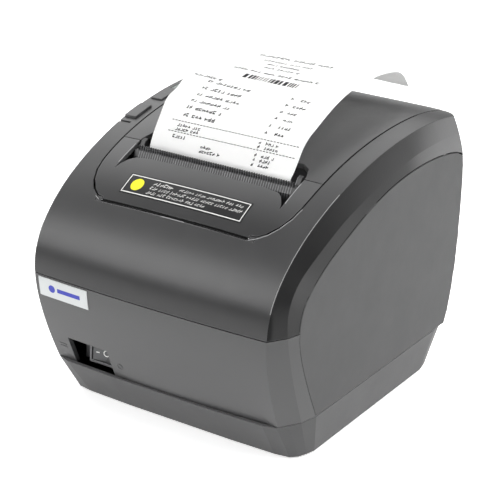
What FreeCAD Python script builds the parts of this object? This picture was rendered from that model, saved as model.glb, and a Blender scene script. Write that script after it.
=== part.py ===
import FreeCAD, Part
import math, os
from FreeCAD import Vector as V, Placement, Rotation

# Receipt printer for 80 mm thermal paper rolls.
# Design frame: x to the right, y to the back (0 at the foremost bulge of the front), z up
# (0 at the underside of the base tray). The finished pieces are then moved so that the
# origin is the centre of the footprint at the level of the feet.

doc = FreeCAD.newDocument("receipt_printer")
sheet = doc.addObject("Spreadsheet::Sheet", "Params")
_row = [0]


def cell(alias, value):
    _row[0] += 1
    a = "A%d" % _row[0]
    sheet.set(a, repr(float(value)))
    sheet.setAlias(a, alias)
    VAL[alias] = float(value)
    return "Params." + alias


VAL = {}

# ---------------------------------------------------------------- driving dimensions
for k, v in [
    ("half_width", 72.5),          # side panels' outer faces
    ("seam_gap", 0.5),             # gap between lid or flap and the cover
    ("skin", 2.4),                 # wall of the moulded covers
    ("base_top", 22.6),            # top edge of the base tray
    ("waist", 72.6),               # seam between front cover and top cover
    ("foot_height", 1.2),
    ("lid_half", 57.2),
    ("lid_axis_back", 176.0),
    ("lid_axis_up", 129.0),
    ("lid_knuckle", 15.0),
    ("flap_axis_back", 21.24),
    ("flap_axis_up", 109.40),
    ("roll_radius", 36.0),
    ("roll_back", 118.0),
    ("roll_up", 69.2),
    ("paper_width", 79.5),
    ("core_radius", 8.5),
    ("platen_radius", 5.5),
    ("platen_back", 70.0),
    ("platen_up", 106.0),
    ("platen_length", 81.0),
    ("shaft_radius", 3.0),
    ("gear_module", 0.8),
    ("bucket_radius", 41.5),
    ("bucket_back", 118.0),
    ("bucket_up", 74.7),
    ("bucket_half", 40.6),
    ("board_thick", 1.6),
    ("screw_radius", 1.4),
]:
    cell(k, v)
doc.recompute()
P = VAL

FINAL = []


def final(obj, label):
    obj.Label = label
    FINAL.append((obj, label))
    return obj


def feature(label, shape):
    """A sub-part whose shape is worked out in code from the sheet's sizes."""
    o = doc.addObject("Part::Feature", label)
    o.Shape = shape
    return final(o, label)


def pbox(name, x0, y0, z0, x1, y1, z1, as_final=False):
    o = doc.addObject("Part::Box", name)
    for prop, key, v in (("Length", "len", x1 - x0), ("Width", "wid", y1 - y0), ("Height", "hgt", z1 - z0)):
        o.setExpression(prop, cell(name + "_" + key, v))
    o.Placement = Placement(V(x0, y0, z0), Rotation())
    if as_final:
        final(o, name)
    return o


AXR = {"x": Rotation(V(0, 1, 0), 90), "y": Rotation(V(1, 0, 0), -90), "z": Rotation()}


def pcyl(name, axis, start, r, length, expr=None, as_final=False):
    o = doc.addObject("Part::Cylinder", name)
    o.setExpression("Radius", expr or cell(name + "_rad", r))
    o.setExpression("Height", cell(name + "_long", length))
    o.Placement = Placement(V(*start), AXR[axis])
    if as_final:
        final(o, name)
    return o


def pcut(name, base, tool, as_final=False):
    o = doc.addObject("Part::Cut", name)
    o.Base = base
    o.Tool = tool
    if as_final:
        final(o, name)
    return o


def pfuse(name, objs, as_final=False):
    o = doc.addObject("Part::MultiFuse", name)
    o.Shapes = objs
    if as_final:
        final(o, name)
    return o


def bx(x0, y0, z0, x1, y1, z1):
    return Part.makeBox(x1 - x0, y1 - y0, z1 - z0, V(x0, y0, z0))


def cx(x0, x1, y, z, r):
    return Part.makeCylinder(r, x1 - x0, V(x0, y, z), V(1, 0, 0))


def cz(x, y, z0, z1, r):
    return Part.makeCylinder(r, z1 - z0, V(x, y, z0), V(0, 0, 1))


def cy_(x, z, y0, y1, r):
    return Part.makeCylinder(r, y1 - y0, V(x, y0, z), V(0, 1, 0))


def prism_x(pts, x0, x1):
    """Prism along x from a closed outline in (y, z)."""
    w = Part.makePolygon([V(x0, y, z) for y, z in pts] + [V(x0, pts[0][0], pts[0][1])])
    return Part.Face(w).extrude(V(x1 - x0, 0, 0))


def prism_z(pts, z0, z1):
    w = Part.makePolygon([V(x, y, z0) for x, y in pts] + [V(pts[0][0], pts[0][1], z0)])
    return Part.Face(w).extrude(V(0, 0, z1 - z0))


# ---------------------------------------------------------------- outer shape
# Lengthwise curves of the casing in (y, z).
CENTRE = [(22.9, 8.0), (16.0, 21.9), (2.4, 54.3), (-0.2, 84.5), (15.9, 107.1), (40.3, 122.4), (68.0, 133.0),
          (97.3, 139.7), (127.2, 143.0), (157.3, 142.6), (187.1, 137.7), (206.0, 133.0)]
LOWER = [(34.9, 9.0), (29.7, 20.9), (17.2, 49.7), (11.2, 67.7), (9.1, 77.8), (9.3, 85.5), (14.3, 94.6),
         (25.7, 102.4), (39.2, 108.6), (52.8, 114.3), (66.9, 118.8), (87.5, 124.0), (109.6, 128.2),
         (124.6, 130.4), (140.7, 131.4), (157.4, 131.6), (177.0, 130.1), (206.0, 126.5)]
SEAM = [(46.3, 9.0), (39.5, 21.9), (31.6, 35.9), (23.6, 51.9), (19.2, 62.9), (17.5, 74.8), (20.3, 84.6),
        (29.8, 93.4), (42.0, 100.6), (58.0, 107.6), (72.0, 113.1), (93.5, 119.4), (116.2, 123.0),
        (140.7, 124.0), (163.5, 122.4), (182.2, 118.6), (206.0, 112.8)]


def spline(pts):
    c = Part.BSplineCurve()
    c.interpolate([V(0, y, z) for y, z in pts])
    return c


def dense(pts, d=0.0, n=500):
    """Points of the smooth curve through pts, moved inwards (down and back) by d or by d(fraction)."""
    c = spline(pts)
    a, b = c.FirstParameter, c.LastParameter
    out = []
    for i in range(n + 1):
        u = a + (b - a) * i / n
        p = c.value(u)
        q = c.tangent(u)
        q = q[0] if isinstance(q, (tuple, list)) else q
        k = d(i / n) if callable(d) else d
        out.append((p.y + k * q.z, p.z - k * q.y))
    return out


def trim(poly, z0, y1):
    """Part of the polyline from height z0 on the way up to depth y1 at the back."""
    out = []
    for (ya, za), (yb, zb) in zip(poly[:-1], poly[1:]):
        if not out:
            if za <= z0 <= zb:
                k = (z0 - za) / (zb - za)
                out.append((ya + k * (yb - ya), z0))
                out.append((yb, zb))
            continue
        if ya <= y1 <= yb and za > 60:
            k = (y1 - ya) / (yb - ya)
            out.append((y1, za + k * (zb - za)))
            return out
        out.append((yb, zb))
    return out


def resample(poly, n):
    s = [0.0]
    for a, b in zip(poly[:-1], poly[1:]):
        s.append(s[-1] + math.hypot(b[0] - a[0], b[1] - a[1]))
    out = []
    j = 0
    for i in range(n):
        t = s[-1] * i / (n - 1)
        while j < len(s) - 2 and s[j + 1] < t:
            j += 1
        k = (t - s[j]) / max(1e-9, s[j + 1] - s[j])
        out.append((poly[j][0] + k * (poly[j + 1][0] - poly[j][0]), poly[j][1] + k * (poly[j + 1][1] - poly[j][1])))
    out[0] = poly[0]
    out[-1] = poly[-1]
    return out


Z0, Y1, NR = 12.0, 200.0, 34


def bcurve(pts):
    c = Part.BSplineCurve()
    c.interpolate([V(*p) for p in pts])
    return c.toShape()


def rear_solid(t):
    """Everything in front of the rear face: bowed in plan, with drawn-in corners that lean in at the top."""
    zs = [-20, 0, 15, 23, 29, 43, 63, 87, 105, 118.6, 128, 135, 141, 150, 165]
    cen = [186.0, 186.5, 187.2, 187.6, 187.9, 188.4, 188.7, 188.7, 188.7, 188.6, 188.2, 187.8, 187.3, 186.3, 184.5]
    cor = [168, 172, 176.4, 179.6, 182.2, 185.2, 186.8, 186.0, 184.6, 181.6, 176.8, 171.8, 166.6, 158, 146]
    rows = []
    xs = [-86, -72.5, -66, -58, -47, -30, 0, 30, 47, 58, 66, 72.5, 86]
    for z, c, e in zip(zs, cen, cor):
        row = []
        for x in xs:
            a = abs(x)
            k = {0: 0.0, 30: 0.045, 47: 0.12, 58: 0.26, 66: 0.56, 72.5: 1.0, 86: 2.3}[a]
            row.append(V(x, c - (c - e) * k - 1.2 * (a / 58.0) ** 2 * (1 if a <= 58 else 0) - (1.2 if a > 58 else 0) - t, z))
        rows.append(row)
    s = Part.BSplineSurface()
    s.interpolate(rows)
    return s.toShape().extrude(V(0, -240, 0))


def envelope(t, side=None, z0=Z0, with_rear=True):
    """Closed solid of the casing, drawn in by t all round (side: half width of the flat sides)."""
    xs = side if side is not None else P["half_width"] - t
    cols = [-1, -0.86, -0.62, -0.32, 0, 0.32, 0.62, 0.86, 1]
    lines = []
    for g in cols:
        def d(f, g=g):
            return t + (2.4 * (1 - f) - 0.3 * f) * g * g
        pl = resample(trim(dense(CENTRE, d), z0, Y1), NR)
        line = []
        for i, (y, z) in enumerate(pl):
            f = i / (NR - 1.0)
            half = 63.6 + (71.2 - 63.6) * min(1.0, f * 1.08) - (0.85 * t)
            line.append(V(g * half, y, z))
        lines.append(line)
    rows = [[lines[j][i] for j in range(len(cols))] for i in range(NR)]
    s = Part.BSplineSurface()
    s.interpolate(rows)
    crown = s.toShape()
    # boundary edges of the crown face
    def pick(fn):
        return max(crown.Edges, key=fn)
    e1r = pick(lambda e: e.CenterOfMass.x)
    e1l = pick(lambda e: -e.CenterOfMass.x)
    eb = pick(lambda e: -e.CenterOfMass.z if abs(e.CenterOfMass.x) < 5 else -1e9)
    er = pick(lambda e: e.CenterOfMass.y if abs(e.CenterOfMass.x) < 5 else -1e9)
    faces = [crown]
    lo = resample(trim(dense(LOWER, t * 0.8), z0, Y1), NR)
    se = resample(trim(dense(SEAM, t * 0.8), z0, Y1), NR)
    ends = {}
    for sgn, e1 in ((1, e1r), (-1, e1l)):
        el = bcurve([(sgn * (xs - 2.2 + 1.7 * i / (NR - 1.0)), y, z) for i, (y, z) in enumerate(lo)])
        es = bcurve([(sgn * xs, y, z) for y, z in se])
        faces.append(Part.makeRuledSurface(e1, el))
        faces.append(Part.makeRuledSurface(el, es))
        a0, a1 = V(sgn * xs, se[0][0], se[0][1]), V(sgn * xs, se[-1][0], se[-1][1])
        corner = V(sgn * xs, Y1, z0)
        eb1 = Part.makeLine(a0, corner)
        eb2 = Part.makeLine(corner, a1)
        faces.append(Part.Face(Part.Wire(Part.__sortEdges__([es, eb1, eb2]))))
        ends[sgn] = (e1, el, es, a0, a1, corner)
    # bottom and rear planes
    def vtx(e, low):
        vs = [v.Point for v in e.Vertexes]
        return min(vs, key=lambda q: q.z) if low else max(vs, key=lambda q: q.y)
    bot = [eb]
    rear = [er]
    for sgn in (1, -1):
        e1, el, es, a0, a1, corner = ends[sgn]
        bot += [Part.makeLine(vtx(e1, True), vtx(el, True)), Part.makeLine(vtx(el, True), a0), Part.makeLine(a0, corner)]
        rear += [Part.makeLine(vtx(e1, False), vtx(el, False)), Part.makeLine(vtx(el, False), a1), Part.makeLine(a1, corner)]
    low = Part.makeLine(ends[1][5], ends[-1][5])
    bot.append(low)
    rear.append(low)
    for es_ in (bot, rear):
        faces.append(Part.Face(Part.Wire(Part.__sortEdges__(es_))))
    sh = Part.makeShell(faces)
    sh.sewShape()
    so = Part.Solid(sh)
    if so.Volume < 0:
        so.reverse()
    if with_rear:
        so = so.common(rear_solid(t))
        so = so.Solids[0] if so.Solids else so
    return so


T = P["skin"]
OUT = envelope(0.0)
INN = envelope(T, side=P["half_width"] - 4.3)
SKIN = OUT.cut(INN)
BT = P["base_top"] + 0.3
SKIN = SKIN.common(bx(-90, -20, BT, 90, 220, 170))

print("outer", OUT.isValid(), round(OUT.Volume), "inner", INN.isValid(), round(INN.Volume),
      "skin", SKIN.isValid(), len(SKIN.Solids), round(SKIN.Volume))

# ---------------------------------------------------------------- splitting the casing
G = P["seam_gap"]
LH = P["lid_half"]
AXB, AXU, KN = P["lid_axis_back"], P["lid_axis_up"], P["lid_knuckle"]
FXB, FXU = P["flap_axis_back"], P["flap_axis_up"]
SPLIT = 58.7      # seam between lid and flap
WZ = P["waist"]


def u_outline(e, y_back=230.0):
    """Plan of the U-shaped seam round flap and lid, grown by e."""
    pts = [(45.1, 22.1), (48.4, 24.4), (52.0, 28.8), (54.6, 34.6), (55.8, 41.0), (56.3, 49.0)]
    right = [(40.4, 20.6)] + pts + [(56.7, 62.0), (LH, 90.0), (58.0, 130.0), (58.3, y_back)]
    out = []
    n = len(right)
    for i, (x, y) in enumerate(right):
        a = right[max(0, i - 1)]
        b = right[min(n - 1, i + 1)]
        tx, ty = b[0] - a[0], b[1] - a[1]
        if i == 0:
            tx, ty = 1.0, 0.0
        l = math.hypot(tx, ty)
        out.append((x + e * ty / l, y - e * tx / l))
    left = [(-x, y) for x, y in reversed(out)]
    return left + out


def u_prism(e, y0=None, y1=None, z0=60.0, z1=200.0):
    s = prism_z(u_outline(e), z0, z1)
    if y0 is not None or y1 is not None:
        s = s.common(bx(-90, -50 if y0 is None else y0, z0, 90, 260 if y1 is None else y1, z1))
    return s


def panel_prism(e, x0, x1):
    """Outline of the side panel in (y, z), grown by e, between the planes x0 and x1."""
    c = [(y, z) for y, z in resample(trim(dense(SEAM, -e), P["base_top"] + 0.3 - min(e, 0), 199.0), 60)]
    c = [(y, z) for y, z in c if y < 178.0 + e]
    zz = c[0][1]
    rear = [(181.0 + e, 117.4), (183.6 + e, 105), (185.0 + e, 87.3), (185.6 + e, 63), (184.2 + e, 43), (181.4 + e, 29.2), (176.5 + e, zz)]
    return prism_x(c + rear, x0, x1)


HW = P["half_width"]
side_in = HW - 2.2
# recesses for the side panels, with the seam all round
rec = panel_prism(0.15, side_in - 0.15, HW + 5).fuse(panel_prism(0.15, -HW - 5, -side_in + 0.15))
body = SKIN.cut(rec)

# lid opening: U-shaped prism through the top skin, and the swing of the lid's rounded rear edge
knuckle_cut = cx(-LH - 1.7, LH + 1.7, AXB, AXU, KN + 0.6)
u_out = u_prism(G / 2).common(bx(-90, -50, AXU - 26, 90, AXB, 260)).fuse(
    u_prism(G / 2).common(bx(-90, AXB - 0.01, AXU + 0.5, 90, 260, 260)))
flap_knuckle_cut = cx(-44.6, 44.6, FXB, FXU, 1.5 + 0.35)
body = body.cut(u_out).cut(knuckle_cut.common(bx(-LH - 1.7, 150, 90, LH + 1.7, 230, 260))).cut(flap_knuckle_cut)

# rear panel opening
RP = (-56.0, 24.6, 56.0, 108.0)
body = body.cut(bx(RP[0], 150, RP[1], RP[2], 230, RP[3]))

# power switch recess through the front cover
SWX0, SWX1, SWZ1 = -52.2, -27.6, 38.6
sw_cut = prism_x([(-5, P["base_top"] - 1), (45, P["base_top"] - 1), (45, SWZ1), (-5, SWZ1)], SWX0, SWX1)

front_zone = bx(-90, -20, 0, 90, 60, WZ - 0.2)
front = body.common(front_zone).cut(sw_cut)
top = body.cut(bx(-90, -20, 0, 90, 60, WZ + 0.25))
# the upper cover keeps the rear walls too
print("front", front.isValid(), len(front.Solids), "top", top.isValid(), len(top.Solids), [round(s.Volume) for s in top.Solids])


def biggest(s, keep=1):
    so = sorted(s.Solids, key=lambda q: -q.Volume)
    return so[0] if keep == 1 else Part.makeCompound(so[:keep])


# button, indicator and lamp openings in the left shoulder
BTN = (-67.8, 74.4, -61.2, 87.8)
FED = (-67.2, 96.4, -61.0, 104.6)
LED = (-67.0, 113.0, -61.0, 121.0)
top = top.cut(bx(BTN[0] - .3, BTN[1] - .3, 110, BTN[2] + .3, BTN[3] + .3, 160))
top = top.cut(bx(FED[0] - .3, FED[1] - .3, 110, FED[2] + .3, FED[3] + .3, 160))
top = top.cut(bx(LED[0], LED[1], 110, LED[2], LED[3], 160))
# shallow groove in front of the release button
groove = OUT.cut(envelope(0.7, side=HW - 0.7)).common(bx(-68.6, 69.6, 100, -61.6, 71.2, 160))
top = top.cut(groove)

# inner flanges that stiffen the cover beside the opening
front = biggest(front)
top = biggest(top)

# screw bosses of the covers, on the four case screws
SCR = [(-61.0, 62.0), (61.0, 62.0), (-61.0, 152.0), (61.0, 152.0)]
SR = P["screw_radius"]

# wall along the inside of each side that ties bosses to the cover
for x, y in SCR:
    sx = 1 if x > 0 else -1
    b = cz(x, y, P["base_top"] + 1.0, 62.0, 4.2)
    rib = bx(min(x, sx * 69.4), y - 1.2, P["base_top"] + 1.0, max(x, sx * 69.4), y + 1.2, 61.0)
    b = b.fuse(rib).cut(cz(x, y, 0, 50.0, SR + 0.05))
    top = top.fuse(b)
# shelf under the release button, brackets for the lid's hinge pins, lugs for the flap's pins
shelf = bx(-68.4, 75.5, 120.6, -60.6, 87.5, 122.4).cut(bx(-66.2, 79.1, 110, -62.8, 83.9, 130)).fuse(bx(-69.4, 75.5, 116.0, -68.0, 87.5, 122.4))
top = top.fuse(shelf)
for s0, s1 in ((-61.8, -59.0), (59.0, 61.8)):
    br = bx(s0, 169.0, 122.0, s1, 190.0, 150.0).common(envelope(1.0)).cut(cx(s0 - 1, s1 + 1, AXB, AXU, 2.06))
    top = top.fuse(br)
for s0, s1 in ((-44.3, -41.4), (41.4, 44.3)):
    lug = cx(s0, s1, FXB, FXU, 1.5).fuse(prism_x([(FXB + 0.9, FXU - 1.0), (FXB - 0.9, FXU + 1.0), (FXB - 6.5, FXU - 5.0), (FXB - 6.0, FXU - 8.5)], s0, s1)).common(envelope(0.08))
    top = top.fuse(lug.cut(cx(-43.4, 43.4, FXB, FXU, 0.7)))
# ledge for the board behind the buttons
top = top.fuse(bx(-69.4, 92.6, 123.6, -60.0, 124.4, 125.2))
top = top.removeSplitter()
feature("top_cover", top)
feature("front_cover", front)

# side panels
for sgn, nm in ((-1, "left_side_panel"), (1, "right_side_panel")):
    p = panel_prism(-0.15, side_in, HW) if sgn > 0 else panel_prism(-0.15, -HW, -side_in)
    feature(nm, p)

# rear panel, curved like the rear face, with its row of connector openings
rp = OUT.cut(envelope(2.2, side=90.0 - 2.2)) if False else None
rear_strip = rear_solid(0.3).cut(rear_solid(2.3))
rp = rear_strip.common(bx(RP[0] + .3, 150, RP[1] + .3, RP[2] - .3, 230, RP[3] - .3))
CONN = {   # name: (x0, z0, x1, z1) of the opening in the rear panel
    "power_jack": (-51.0, 30.0, -36.0, 42.0),
    "serial_socket": (-32.0, 30.0, 0.0, 43.0),
    "usb_socket": (5.0, 30.0, 18.0, 42.0),
    "network_socket": (22.0, 30.0, 38.5, 44.0),
    "drawer_socket": (41.5, 30.0, 53.5, 42.0),
}
for x0, z0, x1, z1 in CONN.values():
    rp = rp.cut(bx(x0 - .3, 150, z0 - .3, x1 + .3, 230, z1 + .3))
for i in range(7):   # cooling slots
    rp = rp.cut(bx(-42 + i * 13.0, 150, 70, -36 + i * 13.0, 230, 72.2)).cut(bx(-42 + i * 13.0, 150, 78, -36 + i * 13.0, 230, 80.2))
feature("rear_panel", biggest(rp))

# ---------------------------------------------------------------- lid
lid_zone = u_prism(-G / 2, y0=SPLIT + 0.25)
lid_skin = OUT.cut(envelope(2.3)).common(lid_zone)
keep = bx(-90, 0, 100, 90, AXB, 200).fuse(cx(-90, 90, AXB, AXU, KN))
lid = lid_skin.common(keep)
# front cut-out over the paper exit, with rounded corners
scoop = prism_z([(-46.9, 50), (46.9, 50), (46.6, 60.5), (44.6, 66.2), (40.5, 69.0), (-40.5, 69.0), (-44.6, 66.2), (-46.6, 60.5)], 90, 200)
lid = lid.cut(scoop)
# lugs under the lid that carry the inner ends of the hinge pins
for s0, s1 in ((-56.4, -50.6), (50.6, 56.4)):
    lug = cx(s0, s1, AXB, AXU, 4.6).fuse(prism_x([(AXB - 4.6, AXU), (AXB + 4.6, AXU), (AXB + 2.0, AXU + 12.9), (AXB - 6.0, AXU + 15.0)], s0, s1))
    lid = lid.fuse(lug.common(OUT)).cut(cx(s0 - 1, s1 + 1, AXB, AXU, 2.0))
lid = biggest(lid.removeSplitter())
feature("lid", lid)

# flap: thin lip outside, thicker and smaller pad inside, so that it swings clear of the seam
flap_zone = u_prism(-G / 2, y1=SPLIT - 0.25)
channel = prism_z([(-46.6, 37.2), (-46.9, 70), (46.9, 70), (46.6, 37.2), (45.3, 41.0), (43.0, 44.4), (40.0, 46.5),
                   (32.0, 47.4), (0, 47.7), (-32.0, 47.4), (-40.0, 46.5), (-43.0, 44.4), (-45.3, 41.0)], 90, 200)
lip = OUT.cut(envelope(1.0)).common(flap_zone)
pad = envelope(0.9).cut(envelope(2.3)).common(u_prism(-2.2, y1=SPLIT - 1.6))
front_edge = cx(-90, 90, FXB, FXU, 1.5).fuse(prism_x([(FXB + 11.2, FXU - 16.6), (FXB - 22.4, FXU + 33.2),
                                                     (FXB + 60, FXU + 60), (FXB + 60, FXU - 16.6)], -90, 90))
flap = lip.fuse(pad).common(front_edge).cut(channel)
barrels = cx(-40.9, 40.9, FXB, FXU, 1.5).fuse(
    prism_x([(FXB, FXU - 1.4), (FXB + 4.5, FXU + 0.4), (FXB + 4.5, FXU + 4.0), (FXB, FXU + 1.4)], -40.5, -26.0)).fuse(
    prism_x([(FXB, FXU - 1.4), (FXB + 4.5, FXU + 0.4), (FXB + 4.5, FXU + 4.0), (FXB, FXU + 1.4)], 26.0, 40.5))
flap = flap.fuse(barrels.common(envelope(0.05)))
flap = flap.cut(cx(-60, 60, FXB, FXU, 0.75)).cut(cx(41.1, 44.6, FXB, FXU, 1.8)).cut(cx(-44.6, -41.1, FXB, FXU, 1.8))
# a little more room at the two front corners, which swing forwards
for s in (-1, 1):
    corner = bx(min(s * 43.0, s * 60.0), 10, 100, max(s * 43.0, s * 60.0), 29.0, 130)
    flap = flap.cut(corner.cut(u_prism(-G / 2 - 0.22)))
flap = biggest(flap)
feature("front_flap", flap)
print("lid", lid.isValid(), round(lid.Volume), "flap", flap.isValid(), round(flap.Volume), len(flap.Solids))
print("time mark shells")

# ---------------------------------------------------------------- base tray
def loft(pa, za, pb, zb):
    wa = Part.makePolygon([V(x, y, za) for x, y in pa] + [V(pa[0][0], pa[0][1], za)])
    wb = Part.makePolygon([V(x, y, zb) for x, y in pb] + [V(pb[0][0], pb[0][1], zb)])
    return Part.makeLoft([wa, wb], True, True)


def mirror_x(half):
    return half + [(-x, y) for x, y in reversed(half)]


top_o = mirror_x([(30, 14.3), (57, 15.4), (63.4, 17.8), (67.0, 22.8), (70.2, 29.0), (72.4, 39.3), (72.4, 168.0), (71.0, 176.6), (66.0, 181.2), (55.0, 185.0), (30, 186.6)])
bot_o = mirror_x([(30, 31.6), (55, 32.4), (62.6, 33.8), (65.6, 37.0), (67.4, 41.6), (68.7, 47.0), (68.7, 162.0), (67.2, 170.0), (62.6, 175.0), (53.0, 178.4), (30, 179.6)])


def inset(pts, d):
    cxm = 0.0
    cym = 100.0
    out = []
    n = len(pts)
    for i in range(n):
        a, b, c = pts[i - 1], pts[i], pts[(i + 1) % n]
        n1 = (b[1] - a[1], -(b[0] - a[0]))
        n2 = (c[1] - b[1], -(c[0] - b[0]))
        l1, l2 = math.hypot(*n1), math.hypot(*n2)
        nx, ny = n1[0] / l1 + n2[0] / l2, n1[1] / l1 + n2[1] / l2
        l = math.hypot(nx, ny)
        nx, ny = nx / l, ny / l
        if nx * (b[0] - cxm) + ny * (b[1] - cym) > 0:
            nx, ny = -nx, -ny
        out.append((b[0] + nx * d, b[1] + ny * d))
    return out


BTOP = P["base_top"]
mid_o = [(a[0] + (b[0] - a[0]) * 2.5 / BTOP, a[1] + (b[1] - a[1]) * 2.5 / BTOP) for a, b in zip(bot_o, top_o)]
base = loft(bot_o, 0.0, top_o, BTOP).cut(loft(inset(mid_o, 2.4), 2.5, inset(top_o, 2.4), BTOP + 0.01))
for x, y in SCR:
    base = base.fuse(cz(x, y, 0.5, BTOP, 5.2).common(loft(bot_o, 0.0, top_o, BTOP)))
for x, y in SCR:
    base = base.cut(cz(x, y, -1, BTOP + 1, SR + 0.25)).cut(cz(x, y, -1, 6.0, 3.1))
# wall-mounting holes, cable-exit notch at the back, board posts
for x in (-42.0, 42.0):
    base = base.cut(cz(x, 104.0, -1, 4, 2.25))
POSTS = [(-50.0, 96.0), (50.0, 96.0), (-50.0, 160.0), (50.0, 160.0)]
for x, y in POSTS:
    base = base.fuse(cz(x, y, 2.4, 20.0, 3.2)).cut(cz(x, y, 6.0, 21.0, 1.3))
base = base.cut(bx(-20, 170, 16.6, 20, 230, 30))
feature("base_tray", biggest(base.removeSplitter()))

# feet: low round pads with a bevelled edge
feet = []
FH = P["foot_height"]
for x, y in [(-54.0, 48.0), (54.0, 48.0), (-54.0, 162.0), (54.0, 162.0)]:
    feet.append(Part.makeCone(5.6, 6.2, FH, V(x, y, -FH)))
feature("rubber_feet", Part.makeCompound(feet))

# case screws, driven up from below into the bosses of the cover
sc = []
for x, y in SCR:
    head = cz(x, y, 4.0, 5.95, 2.8).cut(bx(x - 1.9, y - .35, 3.9, x + 1.9, y + .35, 5.0)).cut(bx(x - .35, y - 1.9, 3.9, x + .35, y + 1.9, 5.0))
    sc.append(head.fuse(cz(x, y, 5.9, 44.0, SR)))
feature("case_screws", Part.makeCompound(sc))

# ---------------------------------------------------------------- electronics
tb = P["board_thick"]
brd = doc.addObject("PartDesign::Body", "main_board")
sk = brd.newObject("Sketcher::SketchObject", "board_outline")
xy = [f for f in brd.Origin.OriginFeatures if f.Role == "XY_Plane"][0]
sk.AttachmentSupport = [(xy, "")]
sk.MapMode = "FlatFace"
pts = [(-54.5, 91.0), (54.5, 91.0), (54.5, 176.0), (-54.5, 176.0)]
for i in range(4):
    a, b = pts[i], pts[(i + 1) % 4]
    sk.addGeometry(Part.LineSegment(V(a[0], a[1], 0), V(b[0], b[1], 0)), False)
for x, y in POSTS:
    sk.addGeometry(Part.Circle(V(x, y, 0), V(0, 0, 1), 1.6), False)
pad_f = brd.newObject("PartDesign::Pad", "board_pad")
pad_f.Profile = sk
pad_f.setExpression("Length", "Params.board_thick")
doc.recompute()
brd.Placement = Placement(V(0, 0, 20.1), Rotation())
final(brd, "main_board")
ZB = 20.1 + tb

board_screws = [cz(x, y, ZB + 0.02, ZB + 1.8, 2.7).fuse(cz(x, y, 12.0, ZB + .1, 1.25)).cut(
    bx(x - 1.6, y - .3, ZB + .9, x + 1.6, y + .3, ZB + 2)) for x, y in POSTS]


def yface(x, z):
    """Depth of the rear panel's outer face near x, z."""
    r = rear_solid(0.3).common(bx(x - .2, 150, z - .2, x + .2, 240, z + .2))
    return r.BoundBox.YMax


# sockets stand on the board and reach through the rear panel
def socket(name, mouth, depth=11.0, back=18.0, extra=None):
    x0, z0, x1, z1 = CONN[name]
    yf = yface((x0 + x1) / 2, (z0 + z1) / 2) - 0.2
    s = bx(x0, yf - back, ZB + 0.05, x1, yf, z1)
    s = s.cut(bx(x0 - 1, yf - 9.0, ZB - 1, x1 + 1, yf + 1, z0))
    mx0, mz0, mx1, mz1 = mouth
    s = s.cut(bx(mx0, yf - depth, mz0, mx1, yf + 1, mz1))
    if extra:
        s = s.fuse(extra(yf, depth))
    feature(name, s.removeSplitter())
    return yf


YF = {}
YF["power_jack"] = socket("power_jack", (-48.6, 31.6, -38.4, 40.4), extra=lambda yf, d: Part.makeCompound([cy_(x, z, yf - d - .2, yf - d + 6.5, 0.7) for x, z in ((-45.8, 34.6), (-41.2, 34.6), (-43.5, 38.0))]))
YF["usb_socket"] = socket("usb_socket", (7.0, 31.6, 16.0, 40.4), extra=lambda yf, d: bx(8.8, yf - d - .2, 34.4, 14.2, yf - d + 7.5, 37.4))
YF["network_socket"] = socket("network_socket", (23.9, 33.4, 36.6, 42.2))
YF["drawer_socket"] = socket("drawer_socket", (42.9, 31.6, 52.1, 39.2))


def serial(yf, d):
    sh = bx(-25.5, yf - d, 32.2, -6.5, yf - 0.3, 40.8).cut(bx(-24.9, yf - d - 1, 32.8, -7.1, yf + 1, 40.2))
    core = bx(-24.0, yf - d - .2, 33.8, -8.0, yf - 3.0, 39.2)
    nuts = Part.makeCompound([cy_(x, 36.5, yf - 5, yf - 0.1, 2.2) for x in (-29.2, -2.8)])
    return Part.makeCompound([sh, core])


YF["serial_socket"] = socket("serial_socket", (-25.9, 31.8, -6.1, 41.2), depth=8.0, extra=lambda yf, d: bx(-24.0, yf - d - .2, 33.8, -8.0, yf - 3.0, 39.2))

pcyl("buzzer_can", "z", (30.0, 110.0, ZB + 0.02), 6.0, 7.5)
pcyl("buzzer_hole", "z", (30.0, 110.0, ZB + 5.0), 1.2, 5.0)
pcut("buzzer", doc.getObject("buzzer_can"), doc.getObject("buzzer_hole"), as_final=True)

# ---------------------------------------------------------------- power switch
SY = 19.5
hs = bx(-46.4, SY + 0.5, 24.0, -27.7, SY + 20, 38.2).cut(bx(-45.3, SY, 25.2, -28.7, SY + 14, 36.9))
bezel_back = bx(-52.0, SY + 5.0, 23.0, -46.4, SY + 6.4, 38.3).fuse(bx(-52.0, SY + 5.0, 23.0, -27.7, SY + 6.4, 24.2))
lugs = bx(-52.0, SY + 0.5, 38.2, -27.7, SY + 20, 39.6).common(INN)
hs = hs.fuse(bezel_back).fuse(lugs)
hs = hs.cut(cz(-37.0, SY + 7.0, 20, 50, 0.9))
feature("switch_housing", biggest(hs.removeSplitter()))
# rocker: shallow V in plan, pivots about an upright pin
rk = prism_z([(-44.1, SY + 0.2), (-37.0, SY + 1.7), (-29.9, SY + 0.2), (-30.4, SY + 5.0), (-35.2, SY + 9.4), (-38.8, SY + 9.4), (-43.6, SY + 5.0)], 25.6, 36.5)
rk = rk.fuse(cz(-37.0, SY + 7.0, 24.4, 37.7, 0.8))
feature("power_rocker", rk)

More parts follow.
